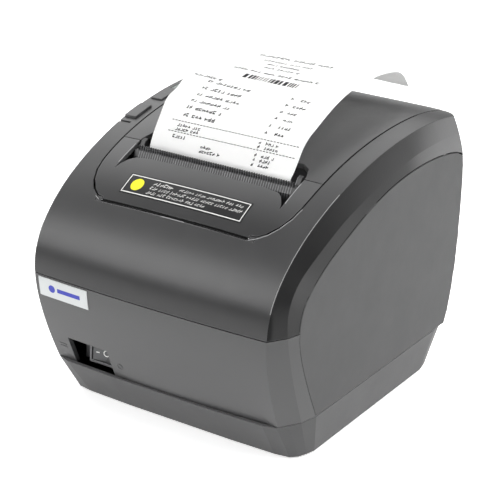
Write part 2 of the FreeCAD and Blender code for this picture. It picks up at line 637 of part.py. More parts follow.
# ---------------------------------------------------------------- paper path
RB, RU, RR = P["roll_back"], P["roll_up"], P["roll_radius"]
PW = P["paper_width"]
pcyl("roll_body", "x", (-PW / 2, RB, RU), RR, PW, "Params.roll_radius")
pcyl("roll_bore", "x", (-PW / 2 - 1, RB, RU), P["core_radius"], PW + 2, "Params.core_radius")
pcut("paper_roll", doc.getObject("roll_body"), doc.getObject("roll_bore"), as_final=True)
core_body = doc.addObject("PartDesign::Body", "roll_core")
sk2 = core_body.newObject("Sketcher::SketchObject", "core_ring")
yz = [f for f in core_body.Origin.OriginFeatures if f.Role == "YZ_Plane"][0]
sk2.AttachmentSupport = [(yz, "")]
sk2.MapMode = "FlatFace"
sk2.addGeometry(Part.Circle(V(0, 0, 0), V(0, 0, 1), P["core_radius"]), False)
sk2.addGeometry(Part.Circle(V(0, 0, 0), V(0, 0, 1), P["core_radius"] - 2.2), False)
pd2 = core_body.newObject("PartDesign::Pad", "core_pad")
pd2.Profile = sk2
pd2.setExpression("Length", "Params.paper_width")
pd2.SideType = "Symmetric" if hasattr(pd2, "SideType") else None
doc.recompute()
bb = core_body.Shape.BoundBox
core_body.Placement = Placement(V(-(bb.XMin + bb.XMax) / 2, RB, RU), Rotation())
final(core_body, "roll_core")

# bucket the roll lies in: trough with two cheeks
BR, BB, BU, BH = P["bucket_radius"], P["bucket_back"], P["bucket_up"], P["bucket_half"]
wallt = 1.8
outer = cx(-BH - wallt, BH + wallt, BB, BU, BR + wallt)
trough = outer.cut(cx(-BH, BH, BB, BU, BR))
trough = trough.cut(bx(-60, 60, 70.5, 60, BB, 140)).cut(bx(-60, BB - 1, BU, 60, 200, 140))
cheek_r = cx(BH, BH + wallt, BB, BU, BR + wallt)
cheek_l = cx(-BH - wallt, -BH, BB, BU, BR + wallt)
rearw = bx(-BH - wallt, BB + BR, BU, BH + wallt, BB + BR + wallt, 104.0)
ch2 = [bx(s0, BB - 10, BU, s1, BB + BR + wallt, 104.0) for s0, s1 in ((BH, BH + wallt), (-BH - wallt, -BH))]
bucket = trough.fuse([cheek_l, cheek_r, rearw] + ch2)
# round finger holes through the cheeks at the roll's centre, and the front of the cheeks is cut back
bucket = bucket.cut(bx(-60, 60, 60, 60, 82.0, 140)).cut(bx(-60, 60, 98, 60, 100, 140))
# legs down to the floor in front of the board and onto the board behind
legs = [bx(s0, y0, zf, s1, y1, 46.0) for s0, s1 in ((-BH - wallt, -BH), (BH, BH + wallt)) for y0, y1, zf in ((84.0, 89.0, 2.52), (146.0, 150.0, ZB + 0.02))]
bucket = bucket.fuse(legs)
feature("roll_bucket", biggest(bucket.removeSplitter()))

# tangent line of the paper from roll to platen
PB, PU, PR = P["platen_back"], P["platen_up"], P["platen_radius"]
dx, dz = PB - RB, PU - RU
D = math.hypot(dx, dz)
d_ = (dx / D, dz / D)
n_ = (-d_[1], d_[0])
if n_[0] > 0:
    n_ = (-n_[0], -n_[1])
sb = (RR - PR) / D
m_ = (sb * d_[0] + math.sqrt(1 - sb * sb) * n_[0], sb * d_[1] + math.sqrt(1 - sb * sb) * n_[1])
t1 = (RB + (RR + 0.12) * m_[0], RU + (RR + 0.12) * m_[1])
t2 = (PB + (PR + 0.12) * m_[0], PU + (PR + 0.12) * m_[1])
print("paper tangent", m_, t1, t2)
webt = 0.2
up = (-m_[1] * 1.0, m_[0])
if up[1] < 0:
    up = (-up[0], -up[1])
e1_ = (t2[0] + up[0] * 5.5, t2[1] + up[1] * 5.5)
web = prism_x([t1, e1_, (e1_[0] + webt * m_[0], e1_[1] + webt * m_[1]), (t1[0] + webt * m_[0], t1[1] + webt * m_[1])], -PW / 2, PW / 2)
feature("paper_web", web)

# receipt: up from the cutter, out of the slot and curled over backwards
REC = [(62.4, 113.2), (59.6, 121.0), (57.7, 127.9), (59.3, 131.6), (62.6, 137.8), (67.6, 143.9), (75.2, 149.0), (85.5, 153.7),
       (99.0, 158.2), (111.5, 160.9), (125.5, 162.6), (142.0, 162.4), (157.5, 159.4), (168.5, 154.2), (174.8, 148.3)]
rc = spline(REC)
ou, inn_ = [], []
for i in range(61):
    u = rc.FirstParameter + (rc.LastParameter - rc.FirstParameter) * i / 60.0
    p = rc.value(u)
    tg = rc.tangent(u)
    tg = tg[0] if isinstance(tg, (tuple, list)) else tg
    ou.append(V(-PW / 2, p.y - 0.12 * tg.z, p.z + 0.12 * tg.y))
    inn_.append(V(-PW / 2, p.y + 0.12 * tg.z, p.z - 0.12 * tg.y))
c1, c2 = Part.BSplineCurve(), Part.BSplineCurve()
c1.interpolate(ou)
c2.interpolate(inn_)
wr = Part.Wire([c1.toShape(), Part.makeLine(ou[-1], inn_[-1]), c2.toShape().reversed(), Part.makeLine(inn_[0], ou[0])])
feature("receipt", Part.Face(wr).extrude(V(PW, 0, 0)))

# ---------------------------------------------------------------- gears
MOD = P["gear_module"]


def gear(z, y0, z0, x0, x1, bore, phase=0.0, back=0.07, alpha=25.0, hub=None):
    """Involute spur gear about an axis along x. phase is the direction, in radians from +y towards +z,
    of the middle of one tooth."""
    r = MOD * z / 2.0
    ra, rf = r + MOD, r - 1.25 * MOD
    al = math.radians(alpha)
    rb = r * math.cos(al)
    inv = lambda a: math.tan(a) - a
    half = math.pi / (2 * z) - back / r / 2.0
    pts = []
    for k in range(z):
        c = phase + 2 * math.pi * k / z
        fl = []
        rs = max(rb, rf)
        for i in range(6):
            rr = rs + (ra - rs) * i / 5.0
            a = math.acos(min(1.0, rb / rr))
            fl.append((rr, half + inv(al) - inv(a)))
        left = [(rf, fl[0][1])] if rs > rf + 1e-6 else []
        seq = [(q, -w) for q, w in left + fl] + [(q, w) for q, w in reversed(left + fl)]
        for q, w in seq:
            pts.append((y0 + q * math.cos(c + w), z0 + q * math.sin(c + w)))
    s = prism_x(pts, x0, x1)
    if hub:
        s = s.fuse(cx(hub[0], hub[1], y0, z0, hub[2]))
    return s.cut(cx(x0 - 20, x1 + 20, y0, z0, bore))


GX0, GX1 = 51.2, 54.8
SRD = P["shaft_radius"]
# platen: roller on its shaft, gear, bushes
pcyl("roller_solid", "x", (-P["platen_length"] / 2, PB, PU), PR, P["platen_length"], "Params.platen_radius")
pcyl("roller_bore", "x", (-P["platen_length"] / 2 - 1, PB, PU), SRD, P["platen_length"] + 2, "Params.shaft_radius")
pcut("platen_roller", doc.getObject("roller_solid"), doc.getObject("roller_bore"), as_final=True)
shaft = cx(-49.5, 56.2, PB, PU, SRD - 0.4).fuse(cx(-49.0, 50.6, PB, PU, SRD)).fuse(cx(50.6, 55.4, PB, PU, SRD - 0.4))
feature("platen_shaft", shaft.removeSplitter())
ang_pi = math.atan2(84.84 - PU, 60.48 - PB)           # from platen to idler
zi, zp, zm = 40, 18, 12
IY, IZ = PB + MOD * (zi + zp) / 2 * math.cos(ang_pi), PU + MOD * (zi + zp) / 2 * math.sin(ang_pi)
MY, MZ = IY + MOD * (zi + zm) / 2 * math.cos(ang_pi), IZ + MOD * (zi + zm) / 2 * math.sin(ang_pi)
feature("platen_gear", gear(zp, PB, PU, GX0, GX1, SRD - 0.4, phase=ang_pi, hub=None))
# the idler has a gap facing the platen gear; 40 teeth are even, so a gap faces the pinion as well
gap_i = ang_pi + math.pi + math.pi / zi
idler = gear(zi, IY, IZ, GX0, GX1, 2.55, phase=gap_i)
idler = idler.cut(Part.makeCompound([cx(GX0 - 1, GX1 + 1, IY + 9.4 * math.cos(a), IZ + 9.4 * math.sin(a), 3.0) for a in [k * math.pi / 3 for k in range(6)]]))
feature("idler_gear", idler)
# pinion moulded onto the end of the motor's shaft
feature("motor_pinion", gear(zm, MY, MZ, GX0, GX1, 1.4, phase=ang_pi + math.pi).fuse(cx(43.0, 56.0, MY, MZ, 1.5)).removeSplitter())
idler_axle = cx(44.9, 55.0, IY, IZ, 2.5).fuse(cx(55.0, 56.4, IY, IZ, 4.2)).fuse(cx(46.05, 51.0, IY, IZ, 4.2))
feature("frame_pins", Part.makeCompound([idler_axle, cx(-49.8, -46.02, 66.0, 90.0, 1.8)]))
feature("platen_bushings", Part.makeCompound([cx(s0, s1, PB, PU, 4.0).cut(cx(s0 - 1, s1 + 1, PB, PU, SRD + 0.05)) for s0, s1 in ((-46.6, -42.1), (42.1, 46.6))]))

# ---------------------------------------------------------------- mechanism frame
CBY, CBZ = 40.0, 104.0        # cutter shaft
prof = [(42, 2.52), (56, 2.52), (56, 44), (66, 52), (80, 62), (80, 112), (34, 112), (34, 44), (42, 40)]
mf = None
for s0, s1 in ((-46.0, -44.8), (44.8, 46.0)):
    pl = prism_x(prof, s0, s1)
    pl = pl.cut(bx(s0 - 1, 64.4, PU, s1 + 1, 74.3, 140)).cut(cx(s0 - 1, s1 + 1, PB - 0.2, PU, 4.3))
    pl = pl.cut(prism_x([(59.0, 113.0), (65.4, 107.5), (74.0, 107.5), (78.0, 113.0)], s0 - 1, s1 + 1))
    pl = pl.cut(cx(s0 - 1, s1 + 1, CBY, CBZ, 2.6))
    pl = pl.cut(cx(s0 - 1, s1 + 1, 58, 75, 5)) if s0 < 0 else pl
    mf = pl if mf is None else mf.fuse(pl)
mf = mf.fuse(bx(-46.0, 42, 2.52, 46.0, 56, 4.0))


def strip(a0, a1, b0, b1, x0, x1):
    """Prism along x: a along the paper line (up), b away from the platen."""
    f = lambda a, b: (t2[0] + up[0] * a + m_[0] * b, t2[1] + up[1] * a + m_[1] * b)
    return prism_x([f(a0, b0), f(a1, b0), f(a1, b1), f(a0, b1)], x0, x1)


mf = mf.fuse(strip(-8, 1.5, 13.0, 14.2, -45.0, 45.0))
mf = mf.cut(cx(44, 47, MY, MZ, 5.5)).cut(cx(44, 47, IY, IZ, 2.5))
for x, y in ((-30, 49), (30, 49)):
    mf = mf.cut(cz(x, y, 2, 5, 1.7))
feature("mech_frame", biggest(mf.removeSplitter()))
frame_screws = [cz(x, 49, 4.02, 5.8, 2.8).cut(bx(x - 1.9, 48.65, 5.0, x + 1.9, 49.35, 6)).fuse(cz(x, 49, 2.6, 4.1, 1.5)) for x in (-30, 30)]
feature("inner_screws", Part.makeCompound(board_screws + frame_screws))
mot = cx(21.0, 44.78, MY, MZ, 15.0).fuse(cx(44.7, 46.0, MY, MZ, 5.4)).cut(cx(42.0, 47.0, MY, MZ, 1.6))
feature("feed_motor", mot)

feature("thermal_head", strip(-9, 2.2, 0.30, 1.5, -41.2, 41.2))
hsk = strip(-9.5, 2.0, 1.52, 7.6, -40.5, 40.5)
for i in range(5):
    hsk = hsk.cut(strip(-8.6 + i * 2.2, -7.4 + i * 2.2, 4.4, 8.0, -38.0, -12.0)).cut(strip(-8.6 + i * 2.2, -7.4 + i * 2.2, 4.4, 8.0, 12.0, 38.0))
feature("head_heat_sink", hsk)


def coil(radius, wire, length, turns, place):
    h = Part.makeHelix(length / turns, length, radius)
    w = Part.Wire(h.Edges)
    c = Part.makeCircle(wire, V(radius, 0, 0), V(0, 1, 0))
    s = Part.Wire([c])
    sp = w.makePipeShell([s], True, True)
    sp.Placement = place
    return sp


spr = []
rot = Rotation(V(0, 0, 1), V(0, m_[0], m_[1]))
for x in (-30.0, 30.0):
    p0 = (t2[0] + up[0] * -3.4 + m_[0] * 8.1, t2[1] + up[1] * -3.4 + m_[1] * 8.1)
    spr.append(coil(2.3, 0.4, 4.2, 4, Placement(V(x, p0[0], p0[1]), rot)))
feature("head_springs", Part.makeCompound(spr))

# ---------------------------------------------------------------- cutter
rail_p = [(33.0, 99.8), (47.0, 99.8), (55.0, 108.0), (55.0, 113.7), (31.0, 113.7), (31.0, 106.0)]
cf = prism_x(rail_p, -44.6, -43.2).fuse(prism_x(rail_p, 43.2, 44.6)).fuse(bx(-44.6, 31.0, 112.5, 44.6, 55.0, 113.7))
cf = cf.cut(bx(40.3, 28.6, 112, 43.21, 51.4, 115)).cut(cx(-50, 50, CBY, CBZ, 2.06))
MCY, MCZ = CBY - 4.65, CBZ - math.sqrt(13.6 ** 2 - 4.65 ** 2)
cf = cf.fuse(bx(43.2, 27.0, MCZ - 7.9, 44.6, 46.0, 100.5)).cut(cx(43.0, 45, CBY, CBZ, 2.06))
cf = cf.fuse(bx(11.0, 28.0, MCZ - 7.9, 44.6, 43.0, MCZ - 6.45))
feature("cutter_frame", biggest(cf.removeSplitter()))
blade = prism_z([(-40.4, 34.0), (40.4, 34.0), (40.4, 57.6), (34.0, 57.6), (0.0, 55.2), (-34.0, 57.6), (-40.4, 57.6)], 111.3, 112.3)
blade = blade.cut(bx(-25, 36, 111, 25, 44, 113))
feature("cutter_moving_blade", blade)
PITCH = math.pi * MOD
tg25 = math.tan(math.radians(25.0))
racks = []
for s0, s1 in ((-33.0, -30.0), (30.0, 33.0)):
    pts = [(31.0, 111.28)]
    # teeth point down; a gap of the rack lies straight above the pinion's top tooth
    y = CBY - PITCH * 3.5 + PITCH * 0.0
    zc = 110.0
    hw = PITCH / 4.0 - 0.04
    row = []
    k = -3
    cyk = []
    while k <= 3:
        cyk.append(CBY + (k + 0.5) * PITCH)
        k += 1
    row = [(31.0, zc + 0.95)]
    for c in cyk:
        row += [(c - hw - 0.95 * tg25, zc + 0.95), (c - hw + 0.78 * tg25, zc - 0.78), (c + hw - 0.78 * tg25, zc - 0.78), (c + hw + 0.95 * tg25, zc + 0.95)]
    row += [(51.0, zc + 0.95), (51.0, 111.28), (31.0, 111.28)]
    racks.append(prism_x(row[:-1], s0, s1))
feature("blade_racks", Part.makeCompound(racks))
feature("cutter_shaft", cx(-50.0, 44.6, CBY, CBZ, 2.0))
dirc = math.atan2(MCZ - CBZ, MCY - CBY)
feature("cutter_gears", Part.makeCompound([gear(15, CBY, CBZ, s0, s1, 2.0, phase=math.pi / 2) for s0, s1 in ((-33.3, -29.7), (29.7, 33.3))]
                                          + [gear(24, CBY, CBZ, 40.8, 42.9, 2.0, phase=dirc)]))
feature("cutter_motor_pinion", gear(10, MCY, MCZ, 40.8, 42.9, 1.0, phase=dirc + math.pi + math.pi / 10).fuse(cx(38.6, 43.0, MCY, MCZ, 1.0)))
feature("cutter_motor", cx(12.0, 39.9, MCY, MCZ, 6.4).fuse(cx(39.8, 40.5, MCY, MCZ, 2.4)).cut(cx(38.0, 41.0, MCY, MCZ, 1.08)))
wheel = cx(-49.6, -46.8, CBY, CBZ, 7.4)
for k in range(20):
    a = 2 * math.pi * k / 20
    wheel = wheel.cut(cx(-50, -46, CBY + 7.9 * math.cos(a), CBZ + 7.9 * math.sin(a), 0.75))
feature("cutter_reset_wheel", wheel.cut(cx(-50, -46, CBY, CBZ, 2.0)))
feature("cutter_fixed_blade", bx(-42.15, 64.0, 112.62, 42.15, 71.5, 113.4))

# serrated tear bar above the cutter, with upright paper guides at its ends
tbp = [(49.6, 113.72), (55.3, 113.72), (55.5, 125.6), (54.9, 126.6), (53.0, 126.2), (51.6, 123.2)]
tbar = prism_x(tbp, -45.6, 45.6)
saw = [(-44.4, 125.4)]
n = 66
for i in range(n):
    x0 = -44.4 + i * 88.8 / n
    saw += [(x0 + 0.34, 128.5), (x0 + 0.34 + 0.36, 128.5), (x0 + 88.8 / n - 0.18, 126.5), (x0 + 88.8 / n, 126.5)]
saw += [(44.4, 126.4), (44.4, 125.4)]
w = Part.makePolygon([V(x, 53.6, z) for x, z in saw] + [V(saw[0][0], 53.6, saw[0][1])])
teeth = Part.Face(w).extrude(V(0, 1.2, 0))
guides = [prism_x([(54.0, 113.72), (58.8, 118.0), (61.0, 128.6), (60.2, 130.4), (58.2, 129.6), (54.4, 124.0)], s0, s1) for s0, s1 in ((-45.6, -43.2), (43.2, 45.6))]
feature("tear_bar", tbar.fuse(teeth).fuse(guides).removeSplitter())

# ---------------------------------------------------------------- lid's inner parts
liner = envelope(2.4).cut(envelope(4.2)).common(u_prism(-4.0, y0=70.2, y1=168.0, z0=100))
# rounded front fall of the liner behind the paper
fall = prism_x([(70.2, 137.0), (72.4, 137.0), (72.4, 122.0), (75.2, 116.5), (73.4, 115.2), (70.2, 121.4)], -44.2, 44.2).common(envelope(2.4))
liner = liner.fuse(fall)
for s0, s1 in ((-44.2, -42.2), (42.2, 44.2)):
    ck = prism_x([(64.8, 100.6), (75.4, 100.6), (82.0, 114.0), (86.0, 140.0), (70.4, 140.0), (68.6, 122.0), (64.8, 112.0)], s0, s1).common(envelope(2.4))
    liner = liner.fuse(ck)
liner = liner.cut(cx(-50, 50, PB, PU, 4.0))
# ribs across the inside of the liner
for y in (92.0, 116.0, 140.0):
    liner = liner.fuse(bx(-50, y, 110, 50, y + 1.4, 150).common(envelope(4.0, z0=20.0)).cut(envelope(6.6, z0=20.0)))
liner = liner.common(bx(-90, 0, 0, 90, 172, 200))
feature("lid_liner", biggest(liner.removeSplitter()))

# ---------------------------------------------------------------- hinge pins
feature("lid_hinge_pins", Part.makeCompound([cx(-61.7, -50.4, AXB, AXU, 2.0), cx(50.4, 61.7, AXB, AXU, 2.0)]))
feature("flap_hinge_pins", Part.makeCompound([cx(-43.4, -26.0, FXB, FXU, 0.7), cx(26.0, 43.4, FXB, FXU, 0.7)]))

# ---------------------------------------------------------------- buttons, latch, lamps
cap_out = envelope(-1.1)
btn = bx(BTN[0], BTN[1], 128.6, BTN[2], BTN[3], 150).common(cap_out).fuse(bx(-65.8, 79.5, 101.4, -63.2, 83.5, 129))
feature("release_button", btn.removeSplitter())
fed = bx(FED[0], FED[1], 134.0, FED[2], FED[3], 150).common(envelope(-0.7)).fuse(bx(-65.0, 99.5, 131.4, -63.0, 101.5, 134.2))
feature("feed_button", fed.removeSplitter())
pbox("small_board", -66.6, 93.0, 125.25, -60.2, 124.0, 126.85)
pbox("tact_case", -66.6, 97.5, 126.8, -61.0, 103.5, 130.2)
pcyl("tact_dome", "z", (-64.0, 100.5, 130.1), 1.6, 0.8)
pfuse("button_board", [doc.getObject("small_board"), doc.getObject("tact_case"), doc.getObject("tact_dome")], as_final=True)
feature("light_pipes", bx(LED[0] + .15, LED[1] + .15, 126.9, LED[2] - .15, LED[3] - .15, 150).common(envelope(0.15)))
# folded leaf spring beside the button's stem
z0 = 122.5
leaf = [(84.0, z0), (87.4, z0), (87.4, z0 + 2.15), (84.35, z0 + 2.15), (84.35, z0 + 3.75), (87.4, z0 + 3.75), (87.4, z0 + 5.90), (84.0, z0 + 5.90),
        (84.0, z0 + 5.55), (87.05, z0 + 5.55), (87.05, z0 + 4.10), (84.0, z0 + 4.10), (84.0, z0 + 1.80), (87.05, z0 + 1.80), (87.05, z0 + 0.35), (84.0, z0 + 0.35)]
feature("release_spring", prism_x(leaf, -66.4, -62.6))
hk = prism_x([(63.2, 87.4), (67.6, 86.8), (80.0, 95.2), (86.5, 96.0), (86.5, 100.4), (79.4, 100.2), (77.6, 101.4), (77.4, 109.4), (74.6, 111.6), (73.4, 111.6), (73.4, 110.2), (74.2, 106.0), (73.6, 99.6), (64.4, 93.0)], -49.2, -47.6)
hk = hk.fuse(cx(-49.2, -47.6, 66.0, 90.0, 3.4)).fuse(bx(-66.2, 79.8, 97.4, -49.0, 83.6, 100.2)).cut(cx(-50, -47, 66.0, 90.0, 1.85))
feature("latch_hook", hk)

# ---------------------------------------------------------------- labels and small parts
feature("warning_label", envelope(-0.14).cut(OUT).common(prism_z([(-35.0, 25.6), (33.2, 25.6), (33.2, 36.6), (-35.0, 36.6)], 90, 160)))
feature("nameplate", envelope(-0.3).cut(OUT).common(bx(-63.0, -10, 61.4, -33.0, 12, 71.6)))
feature("cover_sensor", bx(46.1, 36.0, 97.0, 50.4, 47.5, 103.6).fuse(bx(47.0, 45.0, 103.6, 49.2, 46.2, 106.0)))
rib_pts = [(60.8, 91.2), (58.6, 80.0), (60.6, 60.0), (70.0, 42.0), (84.0, 28.0), (93.5, 22.2)]
rs = spline(rib_pts)
ra_, rb_ = [], []
for i in range(31):
    u = rs.FirstParameter + (rs.LastParameter - rs.FirstParameter) * i / 30.0
    p = rs.value(u)
    tg = rs.tangent(u)
    tg = tg[0] if isinstance(tg, (tuple, list)) else tg
    ra_.append((p.y - 0.2 * tg.z, p.z + 0.2 * tg.y))
    rb_.append((p.y + 0.2 * tg.z, p.z - 0.2 * tg.y))
feature("ribbon_cable", prism_x(ra_ + rb_[::-1], -18.0, 4.0))

# ---------------------------------------------------------------- finish and export
OFFSET = Placement(V(0, -94.0, P["foot_height"]), Rotation())
doc.recompute()
for o, label in FINAL:
    o.Placement = OFFSET.multiply(o.Placement)
doc.recompute()
bad = [o.Name for o in doc.Objects if any(s in o.State for s in ("Invalid", "Error"))]
assert not bad, bad
os.makedirs("parts", exist_ok=True)
for f in os.listdir("parts"):
    if f.endswith(".step"):
        os.remove(os.path.join("parts", f))
total = None
for o, label in FINAL:
    assert not o.Shape.isNull() and o.Shape.isValid() and o.Shape.Volume > 0, label
    o.Shape.exportStep(os.path.join("parts", label + ".step"))
    b = o.Shape.BoundBox
    total = b if total is None else total.united(b)
print(len(FINAL), "sub-parts; box", round(total.XMin, 2), round(total.XMax, 2), round(total.YMin, 2), round(total.YMax, 2), round(total.ZMin, 2), round(total.ZMax, 2))
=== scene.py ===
import bpy, bmesh, math, random
from mathutils import Vector, Matrix
from mathutils.bvhtree import BVHTree


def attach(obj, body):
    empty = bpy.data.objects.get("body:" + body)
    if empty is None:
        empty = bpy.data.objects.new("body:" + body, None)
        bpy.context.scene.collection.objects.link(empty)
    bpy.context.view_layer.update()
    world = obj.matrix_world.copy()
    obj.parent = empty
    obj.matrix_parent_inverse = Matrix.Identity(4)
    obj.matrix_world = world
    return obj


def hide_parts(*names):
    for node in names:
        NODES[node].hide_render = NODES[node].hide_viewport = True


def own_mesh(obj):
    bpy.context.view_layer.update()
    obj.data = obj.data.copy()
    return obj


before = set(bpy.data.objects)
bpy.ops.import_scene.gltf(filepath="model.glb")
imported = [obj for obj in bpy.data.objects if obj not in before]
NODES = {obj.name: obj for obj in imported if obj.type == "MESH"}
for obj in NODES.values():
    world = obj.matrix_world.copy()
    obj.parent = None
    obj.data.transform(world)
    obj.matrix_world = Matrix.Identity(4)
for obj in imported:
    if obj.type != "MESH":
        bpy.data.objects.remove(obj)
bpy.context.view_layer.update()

MM = 0.001
OFF = Vector((0.0, -94.0, 1.2))          # design millimetres to the row frame


def row(x, y, z):
    """Design millimetres to metres in the row frame."""
    return Vector((x + OFF.x, y + OFF.y, z + OFF.z)) * MM


# ------------------------------------------------------------------ material helpers
class Mat:
    """A node material with short calls for the usual nodes."""

    def __init__(self, name):
        self.m = bpy.data.materials.new(name)
        self.m.use_nodes = True
        self.t = self.m.node_tree
        self.t.nodes.clear()
        self.out = self.n("ShaderNodeOutputMaterial")
        self.b = self.n("ShaderNodeBsdfPrincipled")
        self.t.links.new(self.b.outputs[0], self.out.inputs[0])
        self.tc = self.n("ShaderNodeTexCoord")
        self.obj = self.tc.outputs["Object"]

    def n(self, kind):
        return self.t.nodes.new(kind)

    def put(self, sock, v):
        if isinstance(v, bpy.types.NodeSocket):
            self.t.links.new(v, sock)
        elif isinstance(v, (tuple, list)) and len(v) == 3 and sock.type == "RGBA":
            sock.default_value = (*v, 1.0)
        else:
            sock.default_value = v

    def noise(self, scale, detail=2.0, rough=0.5, stretch=None, kind="Fac"):
        x = self.n("ShaderNodeTexNoise")
        x.inputs["Scale"].default_value = scale
        x.inputs["Detail"].default_value = detail
        x.inputs["Roughness"].default_value = rough
        v = self.obj
        if stretch:
            mp = self.n("ShaderNodeMapping")
            mp.inputs["Scale"].default_value = stretch
            self.put(mp.inputs["Vector"], self.obj)
            v = mp.outputs[0]
        self.put(x.inputs["Vector"], v)
        return x.outputs[kind]

    def voronoi(self, scale, feature="F1", out="Distance"):
        x = self.n("ShaderNodeTexVoronoi")
        x.feature = feature
        x.inputs["Scale"].default_value = scale
        self.put(x.inputs["Vector"], self.obj)
        return x.outputs[out]

    def math(self, op, a, b=0.0, c=None, clamp=False):
        x = self.n("ShaderNodeMath")
        x.operation = op
        x.use_clamp = clamp
        self.put(x.inputs[0], a)
        self.put(x.inputs[1], b)
        if c is not None:
            self.put(x.inputs[2], c)
        return x.outputs[0]

    def ramp(self, v, a, b, lo=0.0, hi=1.0, smooth=True):
        x = self.n("ShaderNodeMapRange")
        x.interpolation_type = "SMOOTHSTEP" if smooth else "LINEAR"
        self.put(x.inputs["Value"], v)
        for k, q in (("From Min", a), ("From Max", b), ("To Min", lo), ("To Max", hi)):
            x.inputs[k].default_value = q
        return x.outputs[0]

    def mix(self, f, a, b, kind="MIX"):
        x = self.n("ShaderNodeMix")
        x.data_type = "RGBA"
        x.blend_type = kind
        x.clamp_factor = True
        self.put(x.inputs["Factor"], f)
        self.put(x.inputs[6], a)
        self.put(x.inputs[7], b)
        return x.outputs[2]

    def scale(self, col, f):
        x = self.n("ShaderNodeVectorMath")
        x.operation = "SCALE"
        if isinstance(col, tuple):
            x.inputs[0].default_value = col
        else:
            self.put(x.inputs[0], col)
        self.put(x.inputs["Scale"], f)
        return x.outputs[0]

    def sep(self, v):
        x = self.n("ShaderNodeSeparateXYZ")
        self.put(x.inputs[0], v)
        return x.outputs

    def geo(self, out="Normal"):
        return self.n("ShaderNodeNewGeometry").outputs[out]

    def bevel(self, radius, samples=3):
        x = self.n("ShaderNodeBevel")
        x.samples = samples
        x.inputs["Radius"].default_value = radius
        return x.outputs[0]

    def bump(self, h, strength, dist, normal=None):
        x = self.n("ShaderNodeBump")
        x.inputs["Strength"].default_value = strength
        x.inputs["Distance"].default_value = dist
        self.put(x.inputs["Height"], h)
        if normal is not None:
            self.put(x.inputs["Normal"], normal)
        return x.outputs[0]

    def crease_shade_mask(self, reach):
        """Painted shade mask: 0 in the bottom of a narrow gap, 1 on open faces."""
        a = self.n("ShaderNodeAmbientOcclusion")
        a.samples = 4
        a.inputs["Distance"].default_value = reach
        return self.ramp(a.outputs["AO"], 0.45, 0.90)

    def edge(self, bev):
        """0 on flat faces, 1 on an edge, which is lightened as wear and as painted highlight."""
        d = self.n("ShaderNodeVectorMath")
        d.operation = "DOT_PRODUCT"
        self.put(d.inputs[0], bev)
        self.put(d.inputs[1], self.geo("Normal"))
        return self.ramp(d.outputs["Value"], 0.985, 0.80)

    def set(self, **kw):
        for k, v in kw.items():
            self.put(self.b.inputs[k.replace("_", " ")], v)
        return self.m


